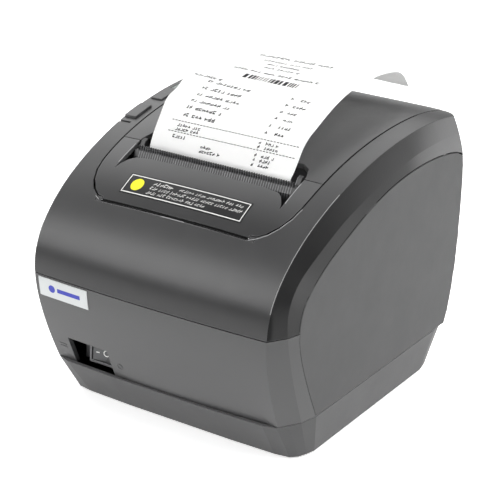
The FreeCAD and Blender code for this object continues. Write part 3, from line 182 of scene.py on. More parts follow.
def moulded(name, col, rough=0.46, grain=0.30, cell=2600.0, wear_and_highlight=0.55, bevel=0.00055, spec=0.5, facet_shade=None, coat=0.0, vary=0.10, shade=None, gap_shade=0.0, band_shade=0.0, nose_shade=None):
    """Spark-eroded moulded plastic: fine grain, faint flow mottling, polished and slightly lighter edges (partly wear,
    partly painted highlight), with optional painted shade on facets, bands and gaps.
    """
    k = Mat(name)
    fine = k.noise(cell, 2.0, 0.6)
    pits = k.voronoi(cell * 0.55)
    mott = k.noise(75.0, 5.0, 0.6)
    flow = k.noise(11.0, 2.0, 0.5, stretch=(1.0, 0.6, 1.6))
    bev = k.bevel(bevel)
    # edge mask: edges are lightened, partly as wear and partly as painted highlight
    e = k.math("MULTIPLY", k.edge(bev), k.ramp(k.noise(240.0, 3.0), 0.25, 0.60, 0.45, 1.0))
    v = k.math("ADD", 1.0, k.math("MULTIPLY", k.math("SUBTRACT", mott, 0.5), vary))
    v = k.math("ADD", v, k.math("MULTIPLY", k.math("SUBTRACT", flow, 0.5), vary * 1.3))
    v = k.math("ADD", v, k.math("MULTIPLY", k.math("SUBTRACT", fine, 0.5), vary * 1.2))
    r = k.math("ADD", rough, k.math("MULTIPLY", k.math("SUBTRACT", mott, 0.5), 0.12))
    if facet_shade is not None:
        # painted shade: the chamfer strip between the crown and the side is darkened and made less shiny, standing in
        # for the shade it falls in
        nx = k.sep(k.geo("Normal"))[0]
        pos = k.sep(k.obj)
        nx = k.math("ABSOLUTE", nx)
        m = k.math("MULTIPLY", k.ramp(nx, 0.42, 0.58), k.ramp(nx, 0.996, 0.986))
        m = k.math("MULTIPLY", m, k.ramp(k.math("ABSOLUTE", pos[0]), 0.0625, 0.0640))
        v = k.math("MULTIPLY", v, k.math("SUBTRACT", 1.0, k.math("MULTIPLY", m, facet_shade)))
        spec = k.math("SUBTRACT", spec, k.math("MULTIPLY", m, spec * facet_shade * 0.85))
    if shade is not None:
        v = k.math("MULTIPLY", v, shade(k))
    if band_shade:
        # painted shade: a darker band on the turned-in lower border of the crown, just above the waist line
        pz = k.sep(k.obj)
        b = k.math("MULTIPLY", k.ramp(pz[2], 0.0905, 0.0840), k.ramp(pz[1], -0.0905, -0.0925))
        v = k.math("MULTIPLY", v, k.math("SUBTRACT", 1.0, k.math("MULTIPLY", b, band_shade)))
        spec = k.math("SUBTRACT", spec, k.math("MULTIPLY", b, 0.5 * band_shade * 0.5))
    # painted shade: colour and specular darkened in narrow gaps and creases, from an ambient-occlusion mask
    if gap_shade:
        gap_shade_factor = k.math("SUBTRACT", 1.0, k.math("MULTIPLY", k.math("SUBTRACT", 1.0, k.crease_shade_mask(0.0012)), gap_shade))
        if nose_shade is not None:     # painted shade on the rounded front edge that dips into the seam
            gap_shade_factor = k.math("MULTIPLY", gap_shade_factor, k.ramp(k.sep(k.obj)[1], nose_shade[0], nose_shade[1], 0.12, 1.0))
        v = k.math("MULTIPLY", v, gap_shade_factor)
        spec = k.math("MULTIPLY", spec, gap_shade_factor)
    c = k.scale(col, v)
    c = k.mix(k.math("MULTIPLY", e, wear_and_highlight * 0.75), c, tuple(min(1.0, q * 2.6 + 0.05) for q in col))
    r = k.math("SUBTRACT", r, k.math("MULTIPLY", e, 0.14))
    h = k.math("ADD", k.math("MULTIPLY", fine, 0.7), k.math("MULTIPLY", pits, 0.6))
    nrm = k.bump(h, grain, 0.00006, bev)
    nrm = k.bump(mott, 0.05, 0.0004, nrm)
    return k.set(Base_Color=c, Roughness=r, Normal=nrm, Specular_IOR_Level=spec, Coat_Weight=coat, Coat_Roughness=0.25)


def metal(name, col, rough=0.32, brush=None, grain=0.12, wear_and_highlight=0.4, metallic=1.0):
    k = Mat(name)
    b = k.noise(900.0, 3.0, 0.6, stretch=brush or (1, 1, 1))
    m = k.noise(60.0, 4.0)
    bev = k.bevel(0.0003)
    e = k.edge(bev)
    v = k.math("ADD", 1.0, k.math("MULTIPLY", k.math("SUBTRACT", b, 0.5), 0.25))
    v = k.math("ADD", v, k.math("MULTIPLY", k.math("SUBTRACT", m, 0.5), 0.16))
    c = k.mix(k.math("MULTIPLY", e, wear_and_highlight), k.scale(col, v), tuple(min(1, q * 1.25) for q in col))
    r = k.math("ADD", rough, k.math("MULTIPLY", k.math("SUBTRACT", b, 0.5), 0.22))
    return k.set(Base_Color=c, Roughness=r, Metallic=metallic, Normal=k.bump(b, grain, 0.00004, bev))


def rubbery(name, col, rough=0.72, grain=0.35, cell=1800.0):
    k = Mat(name)
    f = k.noise(cell, 3.0, 0.6)
    m = k.noise(120.0, 4.0)
    bev = k.bevel(0.0004)
    v = k.math("ADD", 1.0, k.math("MULTIPLY", k.math("SUBTRACT", m, 0.5), 0.35))
    dust = k.ramp(k.noise(45.0, 5.0, 0.7), 0.55, 0.80, 0.0, 0.25)
    c = k.mix(dust, k.scale(col, v), tuple(min(1, q * 2.2 + 0.02) for q in col))
    return k.set(Base_Color=c, Roughness=k.math("ADD", rough, k.math("MULTIPLY", m, 0.10)), Normal=k.bump(f, grain, 0.00008, bev), Specular_IOR_Level=0.35)


def papery(name, col, fibre=0.05, rough=0.62, through=0.0, painted_glow=0.0):
    k = Mat(name)
    f = k.noise(1500.0, 4.0, 0.7, stretch=(1.0, 0.35, 1.0))
    m = k.noise(38.0, 3.0)
    v = k.math("ADD", 1.0, k.math("MULTIPLY", k.math("SUBTRACT", f, 0.5), fibre))
    v = k.math("ADD", v, k.math("MULTIPLY", k.math("SUBTRACT", m, 0.5), fibre * 0.6))
    r = k.math("ADD", rough, k.math("MULTIPLY", k.math("SUBTRACT", m, 0.5), 0.10))
    k.set(Base_Color=k.scale(col, v), Roughness=r, Normal=k.bump(f, 0.10, 0.00003), Specular_IOR_Level=0.30)
    if painted_glow:                   # painted light: emission that makes the paper glow brighter
        k.set(Emission_Color=(1.0, 1.0, 1.0), Emission_Strength=painted_glow)
    if through:
        t = k.n("ShaderNodeBsdfTranslucent")
        k.put(t.inputs["Color"], k.scale(col, v))
        x = k.n("ShaderNodeMixShader")
        x.inputs[0].default_value = through
        k.t.links.new(k.b.outputs[0], x.inputs[1])
        k.t.links.new(t.outputs[0], x.inputs[2])
        k.t.links.new(x.outputs[0], k.out.inputs[0])
    return k.m


def board(name):
    """Green solder mask with copper-toned tracks and pads."""
    k = Mat(name)
    p = k.sep(k.obj)
    x, y = p[0], p[1]
    br = k.n("ShaderNodeTexBrick")
    br.inputs["Scale"].default_value = 260.0
    br.inputs["Mortar Size"].default_value = 0.10
    k.put(br.inputs["Vector"], k.obj)
    tr = br.outputs["Fac"]
    pads = k.ramp(k.voronoi(330.0), 0.16, 0.12)
    m = k.noise(80.0, 4.0)
    base = k.mix(k.math("MULTIPLY", tr, 0.6), (0.012, 0.105, 0.045), (0.035, 0.20, 0.085))
    base = k.mix(k.math("MULTIPLY", pads, k.ramp(k.noise(120.0, 2.0), 0.5, 0.62)), base, (0.62, 0.52, 0.30))
    c = k.scale(base, k.math("ADD", 0.9, k.math("MULTIPLY", m, 0.2)))
    r = k.math("ADD", 0.32, k.math("MULTIPLY", m, 0.12))
    return k.set(Base_Color=c, Roughness=r, Normal=k.bump(tr, 0.3, 0.00003, k.bevel(0.0003)))


# ------------------------------------------------------------------ materials
CHAR = (0.048, 0.048, 0.049)

mat = {}


def painted_rib_highlight(k):
    """Painted highlight on the fine upright ribs at the front of the tear bar: bright stripes in a band along its top
    edge.
    """
    p = k.sep(k.obj)
    wave = k.math("SINE", k.math("MULTIPLY", p[0], 2 * math.pi / 0.0013454))
    rib = k.math("MULTIPLY", k.ramp(wave, 0.1, 0.8), k.ramp(p[2], 0.1215, 0.1245))
    rib = k.math("MULTIPLY", rib, k.ramp(k.math("ABSOLUTE", p[0]), 0.0440, 0.0432))
    return k.math("ADD", 1.0, k.math("MULTIPLY", rib, k.ramp(k.noise(300.0, 2.0), 0.2, 0.8, 3.0, 8.0)))


mat["shell"] = moulded("shell_plastic_look", CHAR, rough=0.34, facet_shade=0.72, wear_and_highlight=0.8, gap_shade=0.9, band_shade=0.45)
mat["front"] = moulded("front_plastic_look", (0.051, 0.051, 0.052), rough=0.38, facet_shade=0.10, bevel=0.00025)
mat["side"] = moulded("side_plastic_look", (0.034, 0.034, 0.035), rough=0.46, spec=0.32)
mat["lid"] = moulded("lid_plastic_look", (0.058, 0.058, 0.059), rough=0.34, wear_and_highlight=0.75, gap_shade=0.9)
# painted shade and light: the flap's colour is darker towards its front edge and lighter towards the slot lip
mat["flap"] = moulded("flap_plastic_look", (0.055, 0.055, 0.056), rough=0.32, wear_and_highlight=0.95, gap_shade=0.9, nose_shade=(-0.07335, -0.07295),
                      shade=lambda k: k.ramp(k.sep(k.obj)[1], -0.070, -0.044, 0.65, 1.35))
# painted light: the upward-facing ledge along the top of the base is lightened up to six times, standing in for light
# on the shaded step under the front cover
mat["base"] = moulded("base_plastic_look", (0.037, 0.037, 0.038), rough=0.46, spec=0.33, bevel=0.00025,
                      shade=lambda k: k.math("ADD", 1.0, k.math("MULTIPLY", k.ramp(k.sep(k.geo("Normal"))[2], 0.90, 0.98), k.ramp(k.sep(k.obj)[2], 0.0232, 0.0236, 0.0, 5.0))))
mat["inner"] = moulded("inner_plastic_look", (0.020, 0.020, 0.021), rough=0.55, wear_and_highlight=0.3)
mat["button"] = moulded("button_plastic_look", (0.060, 0.060, 0.062), rough=0.38, wear_and_highlight=0.9)
# painted light: the switch housing is given a far lighter grey than the other plastics so that the shaded recess round
# the rocker reads lighter
mat["housing"] = moulded("switch_plastic_look", (0.16, 0.16, 0.165), rough=0.4, wear_and_highlight=0.6)
mat["gloss"] = moulded("black_gloss_look", (0.018, 0.018, 0.019), rough=0.24, grain=0.08, wear_and_highlight=0.5, vary=0.2)
mat["rocker"] = moulded("rocker_plastic_look", (0.075, 0.077, 0.080), rough=0.28, grain=0.08, wear_and_highlight=0.7)
mat["tear"] = moulded("tear_bar_look", (0.022, 0.022, 0.023), rough=0.34, grain=0.12, wear_and_highlight=0.25, bevel=0.0002,
                      shade=painted_rib_highlight)
mat["gear"] = moulded("gear_plastic_look", (0.78, 0.76, 0.70), rough=0.35, grain=0.10, wear_and_highlight=0.1, vary=0.06)
mat["steel"] = metal("steel_look", (0.62, 0.62, 0.63), 0.26, brush=(0.15, 1, 1))
mat["zinc"] = metal("zinc_plate_look", (0.42, 0.43, 0.44), 0.42)
mat["blade"] = metal("blade_steel_look", (0.55, 0.56, 0.58), 0.20, brush=(1, 0.1, 1))
mat["alu"] = metal("aluminium_look", (0.75, 0.75, 0.76), 0.42)
mat["ceramic"] = moulded("head_ceramic_look", (0.52, 0.50, 0.44), rough=0.22, grain=0.05, wear_and_highlight=0.1, vary=0.08)
mat["rubber"] = rubbery("rubber_look", (0.022, 0.022, 0.023))
mat["platen"] = rubbery("platen_rubber_look", (0.035, 0.035, 0.037), rough=0.6, grain=0.2)
mat["pcb"] = board("circuit_board_look")
mat["paper"] = papery("paper_look", (0.965, 0.965, 0.96), fibre=0.03, through=0.22)
mat["sheet"] = papery("sheet_paper_look", (0.965, 0.965, 0.96), fibre=0.03, through=0.35, painted_glow=0.12)
mat["tube"] = papery("board_tube_look", (0.52, 0.40, 0.27), fibre=0.25, rough=0.8)
mat["film"] = moulded("label_film_look", (0.012, 0.012, 0.013), rough=0.34, grain=0.06, wear_and_highlight=0.2, vary=0.15)
mat["plate"] = moulded("plate_film_look", (0.52, 0.54, 0.54), rough=0.36, grain=0.05, wear_and_highlight=0.1, vary=0.05)
mat["cable"] = moulded("cable_film_look", (0.60, 0.60, 0.58), rough=0.4, grain=0.1, wear_and_highlight=0.1)


def lamp():
    k = Mat("lamp_look")
    f = k.noise(700.0, 3.0)
    c = k.scale((0.20, 0.24, 0.22), k.math("ADD", 0.9, k.math("MULTIPLY", f, 0.2)))
    return k.set(Base_Color=c, Roughness=k.math("ADD", 0.18, k.math("MULTIPLY", f, 0.15)), Transmission_Weight=0.35, Normal=k.bump(f, 0.06, 0.00003, k.bevel(0.0003)))


mat["lamp"] = lamp()
mat["ink"] = papery("print_ink_look", (0.020, 0.020, 0.022), fibre=0.5, rough=0.7)
mat["white_ink"] = papery("label_ink_look", (0.80, 0.80, 0.78), fibre=0.08, rough=0.5)
mat["yellow"] = papery("label_yellow_look", (0.83, 0.80, 0.03), fibre=0.06, rough=0.45)
mat["blue"] = papery("plate_blue_look", (0.035, 0.045, 0.36), fibre=0.10, rough=0.45)

USE = {
    "shell": ["top_cover"],
    "front": ["front_cover"],
    "side": ["left_side_panel", "right_side_panel"],
    "base": ["base_tray", "rear_panel"],
    "lid": ["lid"],
    "flap": ["front_flap"],
    "inner": ["lid_liner", "roll_bucket", "cutter_frame", "latch_hook", "cover_sensor"],
    "button": ["release_button", "feed_button"],
    "rocker": ["power_rocker"],
    "housing": ["switch_housing"],
    "gloss": ["power_jack", "buzzer", "drawer_socket"],
    "tear": ["tear_bar"],
    "gear": ["platen_gear", "idler_gear", "cutter_gears", "cutter_reset_wheel", "platen_bushings"],
    "steel": ["lid_hinge_pins", "flap_hinge_pins", "platen_shaft", "cutter_shaft", "frame_pins", "head_springs", "release_spring", "blade_racks"],
    "zinc": ["case_screws", "inner_screws", "mech_frame", "feed_motor", "cutter_motor", "usb_socket", "network_socket", "serial_socket"],
    "blade": ["cutter_fixed_blade", "cutter_moving_blade", "motor_pinion", "cutter_motor_pinion"],
    "alu": ["head_heat_sink"],
    "ceramic": ["thermal_head"],
    "rubber": ["rubber_feet"],
    "platen": ["platen_roller"],
    "pcb": ["main_board", "button_board"],
    "paper": ["paper_roll", "paper_web", "receipt"],
    "tube": ["roll_core"],
    "film": ["warning_label"],
    "plate": ["nameplate"],
    "lamp": ["light_pipes"],
    "cable": ["ribbon_cable"],
}
done = set()
for key, names in USE.items():
    for n in names:
        if n in NODES:
            o = NODES[n]
            if not o.data.materials:
                o.data.materials.append(mat[key])
            for i in range(len(o.data.materials)):
                o.data.materials[i] = mat[key]
            done.add(n)
for n in NODES:
    if n not in done:
        print("no finish chosen for", n)
        NODES[n].data.materials.clear()
        NODES[n].data.materials.append(mat["inner"])


# ------------------------------------------------------------------ small printed and raised marks
def make(name, verts, faces, material, body, smooth=False):
    me = bpy.data.meshes.new(name)
    me.from_pydata([tuple(v) for v in verts], [], faces)
    me.validate()
    me.materials.append(material)
    bm = bmesh.new()
    bm.from_mesh(me)
    bmesh.ops.recalc_face_normals(bm, faces=bm.faces)
    bm.to_mesh(me)
    bm.free()
    if smooth:
        for p in me.polygons:
            p.use_smooth = True
    o = bpy.data.objects.new(name, me)
    bpy.context.scene.collection.objects.link(o)
    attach(o, body)
    return o


class Caster:
    """Drops points of a drawing onto a CAD node along one direction."""

    def __init__(self, node, origin, u, v, d):
        me = NODES[node].data
        self.tree = BVHTree.FromPolygons([w.co.copy() for w in me.vertices], [tuple(p.vertices) for p in me.polygons])
        self.o, self.u, self.v, self.d = origin, u, v, d

    def at(self, a, b):
        p = self.o + self.u * (a * MM) + self.v * (b * MM)
        hit, nrm, _, _ = self.tree.ray_cast(p, self.d)
        if hit is None:
            return None, None
        if nrm.dot(self.d) > 0:
            nrm = -nrm
        return hit, nrm


def drape(name, caster, polys, material, body, high=0.05, deep=0.05, step=2.5):
    """Closed thin plates that follow a surface: each poly is a convex outline in the drawing's millimetres."""
    verts, faces = [], []
    for poly in polys:
        pts = []
        for i, a in enumerate(poly):
            b = poly[(i + 1) % len(poly)]
            n = max(1, int(math.ceil(math.hypot(b[0] - a[0], b[1] - a[1]) / step)))
            pts += [(a[0] + (b[0] - a[0]) * j / n, a[1] + (b[1] - a[1]) * j / n) for j in range(n)]
        hits = [caster.at(*p) for p in pts]
        if any(h[0] is None for h in hits):
            continue
        k = len(verts)
        n = len(pts)
        verts += [h + q * (high * MM) for h, q in hits] + [h - q * (deep * MM) for h, q in hits]
        faces.append(tuple(range(k, k + n)))
        faces.append(tuple(range(k + 2 * n - 1, k + n - 1, -1)))
        for i in range(n):
            j = (i + 1) % n
            faces.append((k + i, k + j, k + n + j, k + n + i))
    return make(name, verts, faces, material, body)


def rect(x0, y0, x1, y1):
    return [(x0, y0), (x1, y0), (x1, y1), (x0, y1)]


def strips(x0, y0, x1, y1, step=2.5):
    """A long rectangle cut into short ones so that it follows a curved surface."""
    if x1 - x0 >= y1 - y0:
        n = max(1, int(math.ceil((x1 - x0) / step)))
        return [rect(x0 + (x1 - x0) * i / n, y0, x0 + (x1 - x0) * (i + 1) / n, y1) for i in range(n)]
    n = max(1, int(math.ceil((y1 - y0) / step)))
    return [rect(x0, y0 + (y1 - y0) * i / n, x1, y0 + (y1 - y0) * (i + 1) / n) for i in range(n)]


def disc(cx, cy, r, n=24):
    """A round spot cut into rings of small plates so that it follows a curved surface."""
    out = []
    for k in range(3):
        a, b = r * k / 3, r * (k + 1) / 3
        for i in range(n):
            p, q = 2 * math.pi * i / n, 2 * math.pi * (i + 1) / n
            o = [(cx + b * math.cos(p), cy + b * math.sin(p)), (cx + b * math.cos(q), cy + b * math.sin(q))]
            o += [(cx + a * math.cos(q), cy + a * math.sin(q)), (cx + a * math.cos(p), cy + a * math.sin(p))] if k else [(cx, cy)]
            out.append(o)
    return out


def ring(cx, cy, r, w, n=20):
    out = []
    for i in range(n):
        a, b = 2 * math.pi * i / n, 2 * math.pi * (i + 1) / n
        out.append([(cx + r * math.cos(a), cy + r * math.sin(a)), (cx + r * math.cos(b), cy + r * math.sin(b)),
                    (cx + (r - w) * math.cos(b), cy + (r - w) * math.sin(b)), (cx + (r - w) * math.cos(a), cy + (r - w) * math.sin(a))])
    return out


# made-up strokes that stand for characters without being any
GLYPHS = [
    [(0.0, 0.0, 0.20, 1.0), (0.20, 0.42, 1.0, 0.60)],
    [(0.0, 0.0, 1.0, 0.18), (0.78, 0.18, 1.0, 0.95)],
    [(0.0, 0.80, 1.0, 1.0), (0.0, 0.1, 0.20, 0.80), (0.20, 0.1, 0.8, 0.28)],
    [(0.38, 0.0, 0.60, 1.0), (0.0, 0.0, 0.38, 0.18)],
    [(0.0, 0.0, 0.20, 0.7), (0.78, 0.0, 1.0, 0.7), (0.20, 0.52, 0.78, 0.7)],
    [(0.0, 0.27, 1.0, 0.45), (0.4, 0.45, 0.62, 1.0)],
    [(0.0, 0.0, 0.9, 0.17), (0.1, 0.42, 1.0, 0.60), (0.78, 0.60, 1.0, 1.0)],
    [(0.1, 0.0, 0.30, 0.66), (0.66, 0.34, 0.88, 1.0), (0.30, 0.42, 0.66, 0.60)],
]


def words(rng, x0, x1, y, h, w=None, slant=0.0, bold=0.0, space=0.14):
    """Rows of made-up strokes from x0 to x1 on the line y, h high."""
    w = w or h * 0.62
    out = []
    x = x0
    left = rng.randint(3, 7)
    while x + w <= x1 + 0.01:
        if left == 0:
            x += w * 0.9
            left = rng.randint(3, 7)
            continue
        g = GLYPHS[rng.randrange(len(GLYPHS))]
        hh = h if rng.random() < 0.4 else h * 0.78
        for a, b, c, d in g:
            a, c = max(0.0, a - bold), min(1.0, c + bold)
            b, d = max(0.0, b - bold), min(1.0, d + bold)
            q = rect(x + a * w, y + b * hh, x + c * w, y + d * hh)
            out.append([(px + slant * (py - y), py) for px, py in q])
        x += w * (1.0 + space) + 0.16 * h
        left -= 1
    return out


# ------------------------------------------------------------------ receipt
RIGHT = [(62.4, 113.2), (59.9, 121.0), (58.2, 127.9), (60.6, 130.2), (64.2, 134.8), (68.8, 140.9), (73.9, 144.8), (79.1, 147.2), (89.7, 152.1), (103.5, 157.2), (114.2, 159.7), (127.8, 161.1), (148.3, 161.3), (168.1, 157.5), (177.9, 148.6)]
LEFT = [(62.4, 113.2), (59.3, 121.0), (56.8, 127.9), (58.0, 131.4), (59.7, 134.7), (64.5, 142.2), (70.6, 150.2), (78.4, 153.4), (84.2, 156.9), (98.0, 160.2), (111.5, 161.9), (125.5, 162.5), (142.0, 162.4), (157.5, 159.8), (172.0, 152.0)]


def smooth_path(pts, n):
    """n + 1 points evenly spaced by length on a smooth curve through pts, and its length."""
    P = [Vector((0, a, b)) for a, b in pts]
    d = [0.0]
    for a, b in zip(P, P[1:]):
        d.append(d[-1] + (b - a).length)
    T = []
    for i in range(len(P)):
        if i == 0:
            T.append((P[1] - P[0]) / (d[1] - d[0]))
        elif i == len(P) - 1:
            T.append((P[-1] - P[-2]) / (d[-1] - d[-2]))
        else:
            h0, h1 = d[i] - d[i - 1], d[i + 1] - d[i]
            T.append(((P[i] - P[i - 1]) / h0 * h1 + (P[i + 1] - P[i]) / h1 * h0) / (h0 + h1))
    fine = []
    for i in range(len(P) - 1):
        h = d[i + 1] - d[i]
        for k in range(40):
            u = k / 40
            fine.append((2 * u ** 3 - 3 * u ** 2 + 1) * P[i] + (u ** 3 - 2 * u ** 2 + u) * h * T[i] + (-2 * u ** 3 + 3 * u ** 2) * P[i + 1] + (u ** 3 - u ** 2) * h * T[i + 1])
    fine.append(P[-1])
    for _ in range(30):      # ease the joints between the pieces
        fine = [fine[0]] + [(fine[i - 1] + fine[i] * 2 + fine[i + 1]) / 4 for i in range(1, len(fine) - 1)] + [fine[-1]]
    e = [0.0]
    for a, b in zip(fine, fine[1:]):
        e.append(e[-1] + (b - a).length)
    out, j = [], 0
    for i in range(n + 1):
        s = e[-1] * i / n
        while j < len(e) - 2 and e[j + 1] < s:
            j += 1
        f = (s - e[j]) / max(1e-9, e[j + 1] - e[j])
        out.append(fine[j].lerp(fine[j + 1], min(1.0, f)))
    return out, e[-1]


NS = 150
pr, LEN = smooth_path(RIGHT, NS)
pl, _ = smooth_path(LEFT, NS)
HALF = 39.6


def sheet_point(x, f):
    """A point of the receipt, in design millimetres: x across, f from 0 at the slot to 1 at the free end."""
    w = (x + HALF) / (2 * HALF)
    i = min(max(f, 0.0) * NS, NS - 1e-6)
    j = int(i)
    t = i - j
    a = pl[j].lerp(pl[j + 1], t)
    b = pr[j].lerp(pr[j + 1], t)
    p = a.lerp(b, w)
    # a shallow crown across the width, fading out towards the slot
    crown = 0.9 * (1 - (x / HALF) ** 2) * min(1.0, max(0.0, (f - 0.2) / 0.3)) * (1.0 - min(1.0, max(0.0, (f - 0.55) / 0.2)))
    return Vector((x, p.y, p.z - crown * 0.6))


def sheet_normal(x, f):
    a = sheet_point(x, min(1.0, f + 0.004)) - sheet_point(x, max(0.0, f - 0.004))
    b = sheet_point(min(HALF, x + 0.5), f) - sheet_point(max(-HALF, x - 0.5), f)
    n = b.cross(a)
    n.normalize()
    return n if n.z > 0 or (n.y < 0 and f < 0.3) else -n


NX = 24
TH = 0.075
verts, faces = [], []
for side in (1, -1):
    for j in range(NS + 1):
        for i in range(NX + 1):
            x = -HALF + 2 * HALF * i / NX
            f = j / NS
            if j == NS:            # a slightly uneven torn end
                f -= 0.004 * (0.5 + 0.5 * math.sin(i * 2.1)) * 0.5
            p = sheet_point(x, f) + sheet_normal(x, f) * (TH / 2 * side)
            verts.append(row(p.x, p.y, p.z))
W = NX + 1
base2 = (NS + 1) * W
for j in range(NS):
    for i in range(NX):
        a = j * W + i
        faces.append((a, a + 1, a + 1 + W, a + W))
        a += base2
        faces.append((a, a + W, a + 1 + W, a + 1))
for i in range(NX):
    for a, flip in ((i, 0), (NS * W + i, 1)):
        q = (a, a + base2, a + 1 + base2, a + 1)
        faces.append(q if not flip else q[::-1])
for j in range(NS):
    for a, flip in ((j * W, 1), (j * W + NX, 0)):
        q = (a, a + base2, a + W + base2, a + W)
        faces.append(q if not flip else q[::-1])
receipt = make("receipt_sheet", verts, faces, mat["sheet"], "lid_body", smooth=True)
receipt.data.set_sharp_from_angle(angle=math.radians(40))
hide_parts("receipt")

rng = random.Random(7)
LINES = []           # drawing in x millimetres and length millimetres along the sheet


def S(f):
    return f * LEN


def text_row(x0, x1, f, h=2.1, w=None, slant=0.0):
    LINES.extend(words(rng, x0, x1, S(f) - h / 2, h, w, slant, 0.085, 0.02))


for f, x1 in ((0.408, -4.0), (0.371, -4.5), (0.336, -2.5), (0.300, -4.5), (0.269, -6.5), (0.239, -9.5)):
    text_row(-27.3, -24.4, f, 1.9)
    text_row(-22.6, x1, f, 2.1, 1.55)
for f in (0.418, 0.380, 0.345, 0.309, 0.272, 0.241):
    text_row(17.3, 19.0, f, 2.1)
    text_row(21.0 + rng.random() * 1.5, 28.6, f, 2.0, 1.35)
for f, x0, x1 in ((0.200, -28.4, -14.5), (0.186, -28.8, -16.0), (0.160, -28.9, -21.4), (0.144, -12.2, -4.6), (0.129, -12.2, -0.8)):
    text_row(x0, x1, f, 1.75, 1.2)
for f in (0.201, 0.186, 0.158, 0.142, 0.125):
    text_row(16.8, 18.4, f, 1.7)
    text_row(20.4, 28.4, f, 1.7, 1.2)
for f in (0.214, 0.175):                 # dashed rules
    x = -32.2
    while x < 36.4:
        LINES.append(rect(x, S(f) - 0.20, x + 1.15, S(f) + 0.20))
        x += 1.75
text_row(-37.0, -20.6, 0.432, 2.0, 1.4)
x = -15.6
while x < 14.0:                          # bars of several widths
    w = rng.choice((0.5, 0.8, 1.3, 1.9))
    LINES.append(rect(x, S(0.484), x + w, S(0.515)))
    x += w + rng.choice((0.5, 0.8, 1.1))
text_row(-25.2, 22.8, 0.548, 2.2, 1.6)
text_row(-12.6, 6.6, 0.597, 2.1, 1.5)
text_row(-13.8, 5.2, 0.633, 2.1, 1.5)
text_row(-18.8, 8.8, 0.670, 2.2, 1.5)
text_row(-25.5, 17.5, 0.722, 3.3, 2.3)

pv, pf = [], []
for poly in LINES:
    pts = []
    for i, a in enumerate(poly):
        b = poly[(i + 1) % len(poly)]
        n = max(1, int(math.ceil(abs(b[1] - a[1]) / 1.2)))
        pts += [(a[0] + (b[0] - a[0]) * j / n, a[1] + (b[1] - a[1]) * j / n) for j in range(n)]
    k, n = len(pv), len(pts)
    for up in (TH / 2 + 0.045, TH / 2 - 0.02):
        for a, s in pts:
            f = s / LEN
            p = sheet_point(a, f) + sheet_normal(a, f) * up
            pv.append(row(p.x, p.y, p.z))
    pf.append(tuple(range(k, k + n)))
    pf.append(tuple(range(k + 2 * n - 1, k + n - 1, -1)))
    for i in range(n):
        j = (i + 1) % n
        pf.append((k + i, k + j, k + n + j, k + n + i))
make("receipt_print", pv, pf, mat["ink"], "lid_body")

# ------------------------------------------------------------------ label on the flap
lab = Caster("warning_label", row(0, 0, 150), Vector((1, 0, 0)), Vector((0, 1, 0)), Vector((0, 0, -1)))
X0, X1, Y0, Y1 = -34.4, 32.6, 26.1, 36.0
bw = 0.42
border = strips(X0, Y0, X1, Y0 + bw) + strips(X0, Y1 - bw, X1, Y1) + strips(X0, Y0 + bw, X0 + bw, Y1 - bw) + strips(X1 - bw, Y0 + bw, X1, Y1 - bw)
rng = random.Random(11)
txt = words(rng, -20.2, -8.0, 32.6, 1.9, 1.45, 0.22, space=0.08) + words(rng, -5.6, 30.8, 32.7, 1.55, 1.0, 0.22)
txt += words(rng, -20.6, 31.0, 30.1, 1.6, 1.0, 0.22)
txt += words(rng, -21.0, 12.5, 27.6, 1.6, 1.0, 0.22)
drape("label_print", lab, border + txt, mat["white_ink"], "flap_body", 0.035, 0.05)
drape("label_spot", lab, disc(-28.2, 31.05, 3.3), mat["yellow"], "flap_body", 0.035, 0.05)

# ------------------------------------------------------------------ painted highlights: light grey strips along edges and beside seams
highlight_look_mat = moulded("painted_highlight_look", (0.34, 0.34, 0.345), rough=0.22, grain=0.05, wear_and_highlight=0.3, vary=0.25)
down = (Vector((1, 0, 0)), Vector((0, 1, 0)), Vector((0, 0, -1)))
fl = Caster("front_flap", row(0, 0, 170), *down)
cheek = [rect(sx, y, sx + 0.42, y + 2.0) for sx in (-47.25, 46.83) for y in (41.5, 43.5, 45.5, 47.5, 49.5, 51.5, 53.5)]
drape("flap_painted_highlights", fl, cheek, highlight_look_mat, "flap_body", 0.05, 0.05)
SEAM_PTS = [(-40.4, 20.6), (-45.1, 22.1), (-48.4, 24.4), (-52.0, 28.8), (-54.6, 34.6), (-55.8, 41.0)]
SEAM_PTS = SEAM_PTS[::-1] + [(-40.4 + 80.8 * i / 24, 20.6) for i in range(1, 24)] + [(-x, y) for x, y in SEAM_PTS]
edge_pts = []
for i, (x, y) in enumerate(SEAM_PTS):
    a, b = SEAM_PTS[max(0, i - 1)], SEAM_PTS[min(len(SEAM_PTS) - 1, i + 1)]
    t = Vector((b[0] - a[0], b[1] - a[1])).normalized()
    far_ = 1.12 if abs(x) < 44.0 else 0.62
    edge_pts.append(((x + t.y * far_, y - t.x * far_), (x + t.y * (far_ + 0.34), y - t.x * (far_ + 0.34))))
# painted highlight: light strip beside the seam round the front flap
seam_painted_highlight = [[p[0], p[1], q[1], q[0]] for p, q in zip(edge_pts, edge_pts[1:]) if p[0][0] > -47.0]
